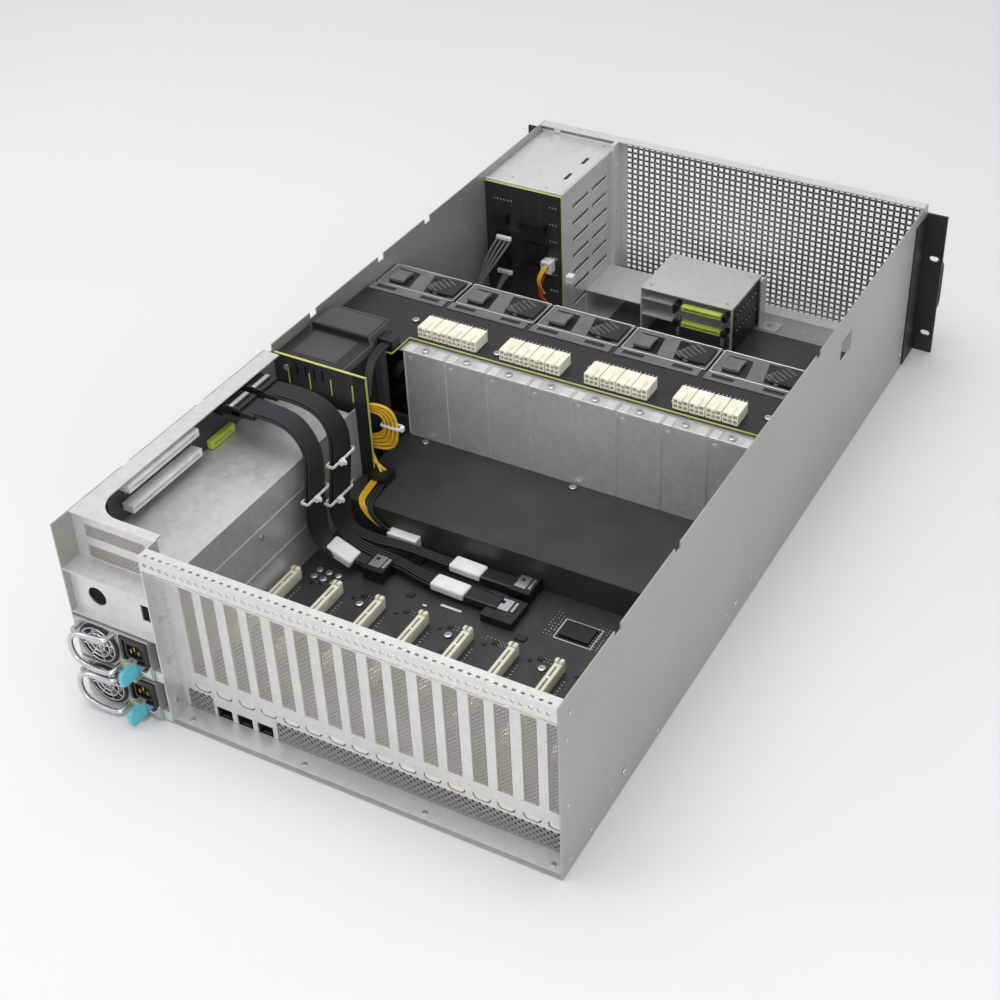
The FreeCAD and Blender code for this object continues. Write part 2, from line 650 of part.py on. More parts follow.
def swept(points, section):
    """Solid that carries a section along a route, with a mitre at each corner."""
    runs = [end - start for start, end in zip(points, points[1:])]
    rings = [section]
    for place, here in enumerate(points[1:]):
        run = runs[place]
        normal = run / run.Length
        if place + 1 < len(runs):
            normal = normal + runs[place + 1] / runs[place + 1].Length
        rings.append([corner + run * ((here - corner).dot(normal) / run.dot(normal)) for corner in rings[-1]])
    return feature(skinned(rings, [(0, 1, 2, 3, 0)]))


def bent_bar(route, radius, share, sides):
    """A many-sided bar bent through the points of a route."""
    points = [Vector(*(number(size) for size in point)) for point in route]
    points = rounded_route(points, share)
    turned = Rotation(Vector(0, 0, 1), points[1] - points[0])
    reach = number(radius) / math.cos(math.pi / sides)
    angles = [math.tau * (side + 0.5) / sides for side in range(sides)]
    corners = [Vector(reach * math.cos(a), reach * math.sin(a), 0) for a in angles]
    return swept(points, [points[0] + turned.multVec(corner) for corner in corners])


def node(name, item):
    """Give a finished piece its name."""
    item.Label = name
    NODES.append(item)


def mirrored(side, low, high):
    """A span along X on one side of the middle plane."""
    return (low, high) if side > 0 else (-high, -low)


def slot(side, height):
    """Round-ended cutter of one rack slot."""
    centre = side * (HALF + S.rack_hole_offset)
    radius = S.rack_slot_height / 2
    reach = S.rack_slot_length / 2 - radius
    depth = (FRONT, FACE)
    ends = [rod("y", (centre + end * reach, height), radius, depth) for end in SIDES]
    middle = box((centre - reach, centre + reach), depth, (height - radius, height + radius))
    return join([middle] + ends)


# Case


def chassis_tray():
    """Floor and side walls folded from one sheet, with lid notches in the top edges."""
    top = S.case_height
    corners = [(-HALF, 0), (HALF, 0), (HALF, top), (INNER, top), (INNER, FLOOR)]
    corners += [(-INNER, FLOOR), (-INNER, top), (-HALF, top)]
    tray = plate("XZ", corners, (FACE, REAR))
    notches = []
    for side, row in ((1, SUPPLY_SIDE_NOTCHES), (-1, FAR_SIDE_NOTCHES)):
        for share in row:
            low = REAR - share * S.case_depth - S.lid_notch_width / 2
            reach = (low, low + S.lid_notch_width)
            notches.append(box(mirrored(side, INNER, HALF), reach, (top - S.lid_notch_depth, top)))
    low = S.latch_cut_place - S.latch_cut_width / 2
    height = (S.latch_cut_top - S.latch_cut_height, S.latch_cut_top)
    notches.append(box((-HALF, -INNER), (low, low + S.latch_cut_width), height))
    node("chassis_tray", cut(tray, notches))


def rack_ear(side):
    """Ear plate with two rack slots, its leg on the side wall and a bar handle in front."""
    face = box(mirrored(side, INNER, HALF + S.ear_width), (FRONT, FACE), (S.ear_low, S.ear_high))
    leg = box(mirrored(side, HALF, HALF + S.ear_leg_sheet), (FACE, FACE + S.ear_leg), (S.ear_low, S.ear_high))
    slots = [slot(side, S.rack_hole_low), slot(side, S.rack_hole_low + S.rack_hole_rise)]
    bracket = cut(join([face, leg]), slots)
    middle = side * (HALF + S.rack_hole_offset - S.handle_inset)
    reach = FRONT - S.handle_reach
    low, high = S.handle_low, S.handle_low + S.handle_rise
    route = [(middle, FRONT, low), (middle, reach, low), (middle, reach, high), (middle, FRONT, high)]
    return [bracket, bent_bar(route, S.handle_radius, share=0.24, sides=8)]


def front_frame():
    """Post beside the drive bays, lip over the grille, strip over the bays and the front sill."""
    side = S.drive_side
    lip = box((-INNER, INNER), (FACE, FACE + S.lip_depth), (LID, S.case_height))
    post = box((side - S.post_width, side), (FACE, FACE + S.post_depth), (FLOOR, LID))
    strip = box((side, INNER), (FACE, FACE + S.case_sheet), (S.drive_high, LID))
    half = S.switch_width / 2
    depth = (FACE, FACE + S.switch_depth)
    switch = box((S.button_place - half, S.button_place + half), depth, (S.drive_high, LID))
    centre = (S.button_place, S.button_high)
    bore = prism(centre, S.button_radius + S.play, (FACE, FACE + S.switch_depth - S.case_sheet), 16)
    frame = cut(join([lip, post, strip, switch]), [bore])
    back = FACE + S.case_sheet
    sill = box((-INNER, S.sill_length - INNER), (back, back + S.sill_depth), (FLOOR, S.sill_height))
    node("front_frame", group([frame, sill]))


def hexagon(x, z, flats):
    """Closed wire of a hexagon with two upright sides, in the plane y 0."""
    radius = flats / math.sqrt(3)
    angles = [math.radians(30 + 60 * turn) for turn in range(7)]
    return Part.makePolygon([Vector(x + radius * math.cos(a), 0, z + radius * math.sin(a)) for a in angles])


def front_grille():
    """Perforated front panel: staggered rows of hexagonal holes in one plate."""
    left, right = number(-INNER), number(S.drive_side - S.post_width)
    low, high = number(FLOOR), number(LID)
    pitch, flats, edge = number(S.grille_pitch), number(S.grille_hole), number(S.grille_edge)
    rise = pitch * math.sqrt(3) / 2
    across = int((right - left - 2 * edge - flats) / pitch) + 1
    rows = int((high - low - 2 * edge - flats) / rise) + 1
    first_x = (left + right - (across - 1) * pitch) / 2
    first_z = (low + high - (rows - 1) * rise) / 2
    corners = [Vector(left, 0, low), Vector(right, 0, low), Vector(right, 0, high), Vector(left, 0, high)]
    face = Part.Face(Part.makePolygon(corners + corners[:1]))
    holes = []
    for row in range(rows):
        shift = pitch / 4 * (1 if row % 2 else -1)
        for column in range(across):
            holes.append(Part.Face(hexagon(first_x + shift + column * pitch, first_z + row * rise, flats)))
    panel = face.cut(holes).extrude(Vector(0, number(S.case_sheet), 0))
    panel.translate(Vector(0, number(FACE), 0))
    node("front_grille", feature(panel.Solids[0]))


# Rear panels


def window_places():
    """Lower X edge of each of the sixteen slot windows."""
    first = CAGE_SIDE - S.case_sheet - S.window_side - WINDOW_WIDTH
    return [first - card * SLOT_PITCH - half * PAIR_PITCH for card in range(8) for half in range(2)]


def rear_slot_panel():
    """Rear wall: slot windows with toe notches, jack windows, vents and the folded shelf on top."""
    outer = S.rear_panel_place
    inner = outer - S.case_sheet
    wall = box((-INNER, SLOT_WALL_END), (inner, outer), (FLOOR, S.rear_panel_high))
    shelf = box((-INNER, SLOT_WALL_END), (outer, outer + S.rear_shelf_depth),
                (S.rear_panel_high - S.case_sheet, S.rear_panel_high))
    tools = []
    for place in window_places():
        centre = place + WINDOW_WIDTH / 2
        height = (S.window_low, S.rear_panel_high - S.window_head)
        tools.append(box((place, place + WINDOW_WIDTH), (inner, outer), height))
        toe = (centre - TOE_WIDTH / 2, centre + TOE_WIDTH / 2)
        tools.append(box(toe, (inner, outer), (S.cover_low - S.cover_toe / 2, S.cover_low)))
    for jack in range(3):
        end = CAGE_SIDE - S.jack_side - jack * S.jack_pitch
        tools.append(box((end - S.jack_width, end), (inner, outer), (S.jack_low, S.jack_high)))
    vent_count = 5
    vent_pitch = (CAGE_SIDE - S.vent_side + INNER - S.vent_edge) / vent_count
    for vent in range(vent_count):
        end = CAGE_SIDE - S.vent_side - vent * vent_pitch
        across = (end - vent_pitch + S.vent_gap, end)
        tools.append(box(across, (inner, outer), (S.vent_low, S.vent_low + S.vent_height)))
    node("rear_slot_panel", cut(join([wall, shelf]), tools))


def slot_covers():
    """Sixteen slot brackets behind the windows, each with its toe and its folded tab."""
    inner = S.rear_panel_place - S.case_sheet
    top = S.rear_panel_high
    covers = []
    for place in window_places():
        centre = place + WINDOW_WIDTH / 2
        half, toe = COVER_WIDTH / 2, TOE_WIDTH / 2
        tip, foot, head = S.cover_low - S.cover_toe, S.cover_low, top + S.case_sheet
        corners = [(centre - toe, tip), (centre + toe, tip), (centre + toe, foot), (centre + half, foot)]
        corners += [(centre + half, head), (centre - half, head), (centre - half, foot), (centre - toe, foot)]
        blade = plate("XZ", corners, (inner - S.case_sheet, inner))
        tab = box((centre - half, centre + half), (inner, S.rear_panel_place + S.cover_tab),
                  (top, top + S.case_sheet))
        covers.append(join([blade, tab]))
    node("slot_covers", group(covers))


def slot_retention_bar():
    """Angle bar over the slot brackets."""
    top = S.case_height
    back = REAR - S.case_sheet
    corners = [(back, top - S.bar_height), (REAR, top - S.bar_height), (REAR, top)]
    corners += [(back - S.bar_flange, top), (back - S.bar_flange, LID), (back, LID)]
    node("slot_retention_bar", plate("YZ", corners, (-INNER, SLOT_WALL_END)))


def rear_top_plate():
    """Corner plate over the supply side, its open side rounded where strip and band meet."""
    outer, strip = number(INNER), number(INNER - S.corner_strip)
    rear = number(REAR - S.corner_gap)
    band = rear - number(S.corner_band)
    side, front = number(CAGE_SIDE), number(CAGE_FRONT + S.corner_lead)
    radius = number(S.corner_radius)
    level = number(LID)
    turn = radius * (1 - math.sqrt(0.5))
    a = Vector(strip, band - radius, level)
    b = Vector(strip - turn, band - turn, level)
    c = Vector(strip - radius, band, level)
    loop = [Vector(side, band, level), Vector(side, rear, level), Vector(outer, rear, level)]
    loop += [Vector(outer, front, level), Vector(strip, front, level), a]
    edges = [Part.makeLine(start, end) for start, end in zip(loop, loop[1:])]
    edges += [Part.Arc(a, b, c).toShape(), Part.makeLine(c, loop[0])]
    face = Part.Face(Part.Wire(edges))
    node("rear_top_plate", feature(face.extrude(Vector(0, 0, number(S.case_sheet)))))


# Power supplies


def bay_floor(bay):
    """Top of the sheet that a bay's supply lies over."""
    return FLOOR + bay * BAY_PITCH


def supply_middle(bay):
    """Height of a supply's middle."""
    return bay_floor(bay) + S.play + S.supply_height / 2


def psu_cage():
    """Three supply bays: a free side that rises at the rear, shelves, a top sheet and side guides."""
    side = CAGE_SIDE
    rise = S.rear_panel_place - S.case_sheet
    corners = [(CAGE_FRONT, FLOOR), (REAR, FLOOR), (REAR, S.case_height)]
    corners += [(rise, S.case_height), (rise, CAGE_TOP), (CAGE_FRONT, CAGE_TOP)]
    parts = [plate("YZ", corners, (side - S.case_sheet, side))]
    across, depth = (side, INNER), (CAGE_FRONT + S.cage_lip, REAR)
    parts.append(box(across, depth, (CAGE_TOP - S.case_sheet, CAGE_TOP)))
    for bay in (1, 2):
        parts.append(box(across, depth, (bay_floor(bay) - S.case_sheet, bay_floor(bay))))
    for bay in range(2):
        guide = (bay_floor(bay), bay_floor(bay) + S.supply_height / 4)
        parts.append(box((side, SUPPLY_SIDE - S.play), depth, guide))
        parts.append(box((SUPPLY_SIDE + S.supply_width + S.play, INNER), depth, guide))
    node("psu_cage", join(parts))


def ring(centre, radius, wire, depth):
    """One flat ring of a finger guard, between two places along Y."""
    return cut(prism(centre, radius + wire, depth, 12), [prism(centre, radius - wire, depth, 12)])


def power_supply(bay):
    """Supply body with fan cell, finger guard, handle loop, mains inlet and the lugs of its tab."""
    middle = supply_middle(bay)
    low, high = middle - S.supply_height / 2, middle + S.supply_height / 2
    face, fan = SUPPLY_FACE, SUPPLY_FAN_PLACE
    body = box((SUPPLY_SIDE, SUPPLY_SIDE + S.supply_width), (SUPPLY_FRONT, face), (low, high))
    cell = prism((fan, middle), SUPPLY_FAN, (face - S.supply_fan_depth, face), 16)
    inlet_low = middle + S.inlet_rise - S.inlet_height / 2
    inlet_side = SUPPLY_SIDE + S.inlet_side
    inlet = box((inlet_side, inlet_side + S.inlet_width), (face - S.inlet_depth, face),
                (inlet_low, inlet_low + S.inlet_height))
    lug = S.tab_lug_reach
    clear = S.play
    pivot = face + lug
    parts = [cut(body, [cell, inlet])]
    for foot in (middle + S.tab_high + clear, middle + S.tab_low - clear - S.tab_lug):
        height = (foot, foot + S.tab_lug)
        block = box((TAB_PLACE - lug, TAB_PLACE + lug), (face, pivot + lug), height)
        bore = rod("z", (TAB_PLACE, pivot), S.tab_pin + S.shaft_play, height)
        parts.append(cut(block, [bore]))
    floor = face - S.supply_fan_depth
    parts.append(prism((fan, middle), S.supply_hub, (floor, floor + S.motor_thick), 8))
    wire = S.guard_wire
    reach = SUPPLY_FAN + wire
    flat = (face - 2 * wire, face)
    guard = [ring((fan, middle), SUPPLY_FAN * S.guard_ring, wire, flat)]
    guard.append(box((fan - reach, fan + reach), flat, (middle - wire, middle + wire)))
    guard.append(box((fan - wire, fan + wire), flat, (middle - reach, middle + reach)))
    bail = S.bail_wire
    half = SUPPLY_FAN - bail
    out = face + S.bail_reach
    left, right, high = fan - half, fan + half, middle + half
    route = [(left, face - 1, high), (left, out, high), (right, out, high), (right, face - 1, high)]
    return join([join(parts), join(guard), bent_bar(route, bail, share=0.3, sides=4)])


def supply_tab(bay):
    """Release tab: a plate on an upright pin that turns in the supply's lugs."""
    middle = supply_middle(bay)
    pivot = SUPPLY_FACE + S.tab_lug_reach
    low, high = middle + S.tab_low, middle + S.tab_high
    half = S.tab_sheet / 2
    end = SUPPLY_FACE + S.tab_reach
    corner = S.tab_sheet
    start = pivot - S.tab_pin * 2
    corners = [(start, low), (end - corner, low), (end, low + corner), (end, high - corner)]
    corners += [(end - corner, high), (start, high)]
    blade = plate("YZ", corners, (TAB_PLACE - half, TAB_PLACE + half))
    reach = S.play + S.tab_lug * 0.8
    ends = ((low - reach, low), (high, high + reach))
    return join([blade] + [post(TAB_PLACE, pivot, S.tab_pin * 0.9, span, 8) for span in ends])


def rear_left_panels():
    """Blank plate of the third supply bay and the low-profile card panel above the cage."""
    low, high = bay_floor(2), CAGE_TOP - S.case_sheet
    across = (CAGE_SIDE, INNER)
    back = REAR - S.blank_depth
    depth = (back - S.case_sheet, back)
    blank = box(across, depth, (low, high))
    hole = prism((SUPPLY_FAN_PLACE, low + S.blank_hole_rise), S.blank_hole, depth, 20)
    left, foot = CAGE_SIDE + S.finger_cut_side, low + S.finger_cut_low
    finger = box((left, left + S.finger_cut_width), depth, (foot, foot + S.finger_cut_height))
    depth = (S.rear_panel_place - S.case_sheet, S.rear_panel_place)
    panel = box(across, depth, (CAGE_TOP, LID))
    windows = []
    for row in range(2):
        bottom = CAGE_TOP + S.low_window_foot + row * LOW_WINDOW_RISE
        reach = (S.low_window_end - S.low_window_length, S.low_window_end)
        windows.append(box(reach, depth, (bottom, bottom + LOW_WINDOW_HEIGHT)))
    node("rear_left_panels", group([cut(blank, [hole, finger]), cut(panel, windows)]))


def psu_backplane():
    """Upright board that the supplies plug into, with one edge connector for each bay."""
    rear = CAGE_FRONT
    front = rear - S.supply_board_thick
    height = (FLOOR + S.supply_board_low, S.backplane_high)
    parts = [box((SLOT_WALL_END, INNER - S.play), (front, rear), height)]
    left = SUPPLY_SIDE + S.supply_plug_side
    half = S.supply_plug_height / 2
    for bay in range(3):
        middle = supply_middle(bay)
        depth = (rear, rear + S.supply_plug_depth)
        parts.append(box((left, left + S.supply_plug_width), depth, (middle - half, middle + half)))
    slots = []
    high = S.backplane_high - S.air_slot_inset
    for place in range(4):
        left = CAGE_SIDE + S.air_slot_side + place * S.air_slot_pitch
        slots.append(box((left, left + S.air_slot_width), (front, rear), (high - S.air_slot_height, high)))
    node("psu_backplane", cut(join(parts), slots))


def lidded(sides, depth, low, high):
    """Four thin walls and a lid, open below."""
    wall = S.case_sheet
    outer = box(sides, depth, (low, high))
    hollow = box((sides[0] + wall, sides[1] - wall), (depth[0] + wall, depth[1] - wall), (low, high - wall))
    return cut(outer, [hollow])


def power_duct_cover():
    """Dark cover on the floor before the supply board, stepped up onto the shelf."""
    start, end = CAGE_SIDE + S.duct_side, S.duct_end
    body = lidded((start, end), (DUCT_FRONT, DUCT_REAR), FLOOR, S.duct_high)
    sides = (start + S.step_inset, end - S.step_inset)
    step = lidded(sides, (DUCT_FRONT - S.step_depth, DUCT_FRONT), S.shelf_top, S.step_high)
    node("power_duct_cover", join([body, step]))


# Boards and their connectors


def power_board():
    """Power board on the shelf behind the fans, with a tongue towards the supply board."""
    start, tongue = S.power_board_margin - INNER, CAGE_SIDE - S.power_tongue_side
    tip = POWER_REAR + S.power_tongue_depth
    corners = [(start, POWER_FRONT), (S.power_board_end, POWER_FRONT), (S.power_board_end, POWER_REAR)]
    corners += [(tongue + S.power_tongue, POWER_REAR), (tongue + S.power_tongue, tip), (tongue, tip)]
    corners += [(tongue, POWER_REAR), (start, POWER_REAR)]
    node("power_board", plate("XY", corners, (POWER_LOW, POWER_HIGH)))


def power_connectors():
    """Sixteen power outlets in four groups, each with three tall ways."""
    back = POWER_REAR - S.outlet_inset
    middle = POWER_HIGH + S.outlet_height / 2
    half = S.outlet_way / 2
    rise = half + S.outlet_way_pitch / 2
    group_pitch = 2 * SLOT_PITCH - S.outlet_group_gap
    outlets = []
    for cluster in range(4):
        for place in range(4):
            end = CAGE_SIDE - S.outlet_side - cluster * group_pitch - place * S.outlet_pitch
            shell = box((end - S.outlet_width, end), (back - S.outlet_depth, back),
                        (POWER_HIGH, POWER_HIGH + S.outlet_height))
            ways = []
            for column in (-1, 0, 1):
                x = end - S.outlet_width / 2 + column * S.outlet_way_pitch
                depth = (back - S.outlet_way_depth, back)
                ways.append(box((x - half, x + half), depth, (middle - rise, middle + rise)))
            outlets.append(cut(shell, ways))
    node("power_connectors", group(outlets))


def gpu_blank_plates():
    """Eight closing plates between deck and shelf, each folded over the shelf's edge."""
    plates = []
    top = S.shelf_top + S.case_sheet
    rear = SHELF_REAR + S.case_sheet
    corners = [(SHELF_REAR, S.deck_top), (rear, S.deck_top), (rear, top)]
    corners += [(rear - S.blank_flange, top), (rear - S.blank_flange, S.shelf_top), (SHELF_REAR, S.shelf_top)]
    for place in range(8):
        end = CAGE_SIDE - S.blank_side - place * SLOT_PITCH
        plates.append(plate("YZ", corners, (end - SLOT_PITCH + S.blank_gap, end)))
    node("gpu_blank_plates", group(plates))


def deck_cover():
    """Dark deck over the processors: a top sheet, folded down at its rear onto the GPU board."""
    front = SHELF_REAR - S.case_sheet
    inner = S.deck_rear - S.case_sheet
    corners = [(front, S.deck_top - S.case_sheet), (inner, S.deck_top - S.case_sheet), (inner, BOARD_TOP)]
    corners += [(S.deck_rear, BOARD_TOP), (S.deck_rear, S.deck_top), (front, S.deck_top)]
    node("deck_cover", plate("YZ", corners, (S.deck_margin - INNER, CAGE_SIDE - S.deck_side)))


def gpu_board_span():
    """Ends of the GPU board along X."""
    return (S.gpu_board_margin - INNER, CAGE_SIDE - S.gpu_board_side)


def gpu_board():
    """GPU slot board above the main board."""
    start, end = gpu_board_span()
    corners = [(start, S.gpu_board_front), (end, S.gpu_board_front)]
    corners += [(end, S.gpu_board_rear), (start, S.gpu_board_rear)]
    node("gpu_board", plate("XY", corners, (BOARD_TOP - S.gpu_board_thick, BOARD_TOP)))


def card_slots():
    """Eight upright card slots on the GPU board and two lying ones on the riser board."""
    slots = []
    half, mouth = S.slot_thick / 2, S.slot_mouth / 2
    span = (S.slot_front, S.slot_front + S.slot_length)
    open_span = (span[0] + S.slot_end, span[1] - S.slot_end)
    top = BOARD_TOP + S.slot_height
    for place in range(8):
        x = CAGE_SIDE - S.slot_side - place * SLOT_PITCH - half
        shell = box((x - half, x + half), span, (BOARD_TOP, top))
        groove = box((x - mouth, x + mouth), open_span, (top - S.slot_groove, top))
        slots.append(cut(shell, [groove]))
    span = (S.riser_slot_front, S.riser_slot_front + S.slot_length)
    open_span = (span[0] + S.slot_end, span[1] - S.slot_end)
    tip = S.riser_face - S.slot_height
    for row in range(2):
        z = S.riser_high - S.riser_slot_inset - row * (LOW_WINDOW_RISE - S.riser_slot_shift)
        shell = box((tip, S.riser_face), span, (z - half, z + half))
        groove = box((tip, tip + S.slot_groove), open_span, (z - mouth, z + mouth))
        slots.append(cut(shell, [groove]))
    node("card_slots", group(slots))


def riser_board():
    """Upright board on the side wall that carries the two lying card slots."""
    low = CAGE_TOP + S.riser_foot
    corners = [(S.riser_front, low), (S.riser_rear, low)]
    corners += [(S.riser_rear, S.riser_high), (S.riser_front, S.riser_high)]
    node("riser_board", plate("YZ", corners, (S.riser_face, S.riser_face + S.board_thick)))


def jack_span(jack):
    """Outer X span of a network jack."""
    end = CAGE_SIDE - S.jack_side - jack * S.jack_pitch + S.jack_wall
    return (end - S.jack_width - 2 * S.jack_wall, end)


def main_board_span():
    """Ends of the main board along X."""
    return (S.main_board_margin - INNER, CAGE_SIDE - S.main_board_side)


def main_board():
    """Main board on the floor, its rear edge notched for three network jacks with open mouths."""
    inner = S.rear_panel_place - S.case_sheet
    edge = inner - S.jack_depth
    low, high = S.main_board_low, S.main_board_low + S.board_thick
    across = main_board_span()
    board = box(across, (FAN_REAR + S.main_board_lead, S.gpu_board_rear), (low, high))
    notch = box((jack_span(2)[0], jack_span(0)[1]), (edge, S.gpu_board_rear), (low, high))
    pieces = [cut(board, [notch])]
    wall = S.jack_wall
    for jack in range(3):
        sides = jack_span(jack)
        height = (S.jack_low - wall, S.jack_high + wall)
        shell = box(sides, (edge, inner), height)
        across = (sides[0] + wall, sides[1] - wall)
        mouth = box(across, (inner - S.jack_mouth, inner), (S.jack_low, S.jack_high))
        pieces.append(cut(shell, [mouth]))
    node("main_board", group(pieces))


def processor_heatsinks():
    """Two finned heatsinks and sixteen memory modules under the deck."""
    low = S.main_board_low + S.board_thick
    span = (S.heatsink_front, S.heatsink_front + S.heatsink_length)
    bank_front = S.heatsink_front - S.memory_lead
    start, end = main_board_span()
    half = S.memory_thick / 2
    pieces = []
    for side in SIDES:
        middle = (start + end) / 2 + side * S.case_width * S.processor_share / 2
        left = middle - S.heatsink_width / 2
        base = box((left, left + S.heatsink_width), span, (low, low + S.heatsink_base))
        step = S.heatsink_width / S.heatsink_fins
        fins = []
        for fin in range(0, int(number(S.heatsink_fins)), 2):
            fin_side = left + fin * step
            fins.append(box((fin_side, fin_side + step), span, (low, S.deck_top - S.heatsink_room)))
        pieces.append(join([base] + fins))
        for bank in SIDES:
            for place in range(4):
                x = middle + bank * (S.heatsink_width / 2 + S.memory_side + place * S.memory_pitch)
                pieces.append(box((x - half, x + half), (bank_front, bank_front + S.memory_length),
                                  (low, low + S.memory_height)))
    node("processor_heatsinks", group(pieces))


# Fans


def fan_centre(module):
    """X of a fan module's middle."""
    return (module - 3) * FAN_PITCH


def window_frame(depth, top):
    """One wall of the fan cage as two rails and six uprights, with an air window for each module."""
    half = FAN_WIDTH / 2 - S.fan_edge / 2
    low, high = FLOOR + S.fan_edge / 2, top - S.fan_edge / 2
    bars = [box((-INNER, INNER), depth, height) for height in ((FLOOR, low), (high, top))]
    edges = [-INNER] + [fan_centre(k) + side * half for k in range(1, 6) for side in SIDES] + [INNER]
    for start, end in zip(edges[::2], edges[1::2]):
        bars.append(box((start, end), depth, (low, high)))
    return bars


def fan_cage():
    """Sheets round the five fan modules, with the shelf of the power board on the rear one."""
    wall = S.case_sheet
    front, rear = FAN_FRONT - S.play, FAN_REAR + S.play
    top = S.shelf_top - wall
    sheets = window_frame((front - wall, front), top) + window_frame((rear, rear + wall), top)
    for place in (-1.5, -0.5, 0.5, 1.5):
        x = place * FAN_PITCH
        sheets.append(box((x - wall / 2, x + wall / 2), (front, rear), (FLOOR, top)))
    sheets.append(box((-INNER, INNER), (rear, SHELF_REAR), (top, S.shelf_top)))
    node("fan_cage", group(sheets))


def fan_axes(module):
    """Axis places of a module's two fans, lower one first."""
    return [(fan_centre(module), FAN_FIRST + row * FAN_RISE) for row in range(2)]


def fan_module(module):
    """Frame with two round ducts, each with a motor on four struts, and the grips on top."""
    x = fan_centre(module)
    half = FAN_WIDTH / 2
    depth = (FAN_FRONT, FAN_REAR)
    frame = box((x - half, x + half), depth, (FAN_LOW, FAN_HIGH))
    parts = [cut(frame, [prism(axis, FAN_BORE, depth, 16) for axis in fan_axes(module)])]
    seat = ROTOR_REAR + S.play
    motor = (seat, seat + S.motor_thick)
    strut = (motor[1] - S.strut_width / 2, motor[1])
    for axis in fan_axes(module):
        parts.append(prism(axis, S.rotor_hub, motor, 8))
        width = S.strut_width / 2
        reach = FAN_BORE + S.fan_wall
        parts.append(box((axis[0] - reach, axis[0] + reach), strut, (axis[1] - width, axis[1] + width)))
        parts.append(box((axis[0] - width, axis[0] + width), strut, (axis[1] - reach, axis[1] + reach)))
    middle = (FAN_FRONT + FAN_REAR) / 2
    pad = x + half - S.latch_pad_side
    reach = S.latch_pad / 2
    height = (FAN_HIGH, FAN_HIGH + S.latch_pad_high)
    parts.append(box((pad, pad + S.latch_pad), (middle - reach, middle + reach), height))
    grip = x - half + S.grip_side
    reach = S.grip_depth / 2
    height = (FAN_HIGH, FAN_HIGH + S.grip_high)
    parts.append(box((grip, grip + S.grip_width), (middle - reach, middle + reach), height))
    return join(parts)


def blade_section(radius, angle, chord, thick):
    """Corners of a blade's cross section at one radius, pitched by its angle."""
    along = Vector(math.cos(angle), math.sin(angle), 0) * (chord / 2)
    across = Vector(-math.sin(angle), math.cos(angle), 0) * (thick / 2)
    lift = Vector(0, 0, radius)
    return [lift - along - across, lift + along - across, lift + along + across, lift - along + across]


def rotor(hub, tip, length, sides):
    """Rotor along Y with its rear face at y 0: a faceted hub with twisted, tapering blades."""
    reach = hub / math.cos(math.pi / sides)
    angles = [math.tau * (side + 0.5) / sides for side in range(sides)]
    corners = [Vector(reach * math.cos(a), 0, reach * math.sin(a)) for a in angles]
    shape = Part.Face(Part.makePolygon(corners + corners[:1])).extrude(Vector(0, -length, 0))
    thick = number(S.blade_thick)
    sections = []
    for share in (0, 0.5, 1):
        pitch = math.radians(number(S.blade_root_angle + (S.blade_tip_angle - S.blade_root_angle) * share))
        chord = 0.85 * length / math.sin(pitch) * (1 - number(S.blade_taper) * share)
        side = chord / 2 * math.cos(pitch) + thick
        end = math.sqrt(tip ** 2 - side ** 2)
        radius = hub * 0.8 + (end - hub * 0.8) * share
        sections.append(blade_section(radius, pitch, chord, thick))
    blade = skinned(sections, [(0, 1, 2, 0), (0, 2, 3, 0)])
    blade.translate(Vector(0, -length / 2, 0))
    count = int(number(S.blade_count))
    blades = []
    for place in range(count):
        turned = blade.copy()
        turned.rotate(Vector(), Vector(0, 1, 0), 360 / count * place)
        blades.append(turned)
    return shape.fuse(blades).removeSplitter()


def place_rotor(name, shape, axis, rear):
    """Put a copy of a rotor on its axis and name it."""
    item = feature(shape)
    for letter, size in zip("xyz", (axis[0], rear, axis[1])):
        bind(item, f"Placement.Base.{letter}", size)
    node(name, item)


def fan_modules():
    """Five fan modules and their ten rotors."""
    tip = number(FAN_BORE - S.rotor_gap)
    shape = rotor(number(S.rotor_hub), tip, number(ROTOR_REAR - ROTOR_FRONT), 8)
    for module in range(1, 6):
        node(f"fan_module_{module}", fan_module(module))
        for letter, axis in zip("ab", fan_axes(module)):
            place_rotor(f"fan_rotor_{module}{letter}", shape, axis, ROTOR_REAR)


def power_supplies():
    """Two supplies with their tabs and fan rotors."""
    length = S.supply_fan_depth - S.motor_thick - S.supply_rotor_room
    shape = rotor(number(S.supply_hub), number(SUPPLY_FAN - S.rotor_gap), number(length), 8)
    for bay, name in enumerate(("lower", "upper")):
        node(f"psu_{name}", power_supply(bay))
        node(f"psu_tab_{name}", supply_tab(bay))
        axis = (SUPPLY_FAN_PLACE, supply_middle(bay))
        rear = SUPPLY_FACE - S.supply_fan_depth + S.motor_thick + S.play + length
        place_rotor(f"psu_rotor_{name}", shape, axis, rear)


# Front


def bay_middle(bay):
    """Height of a drive bay's middle."""
    return FLOOR + S.drive_foot + (bay + 0.5) * DRIVE_PITCH


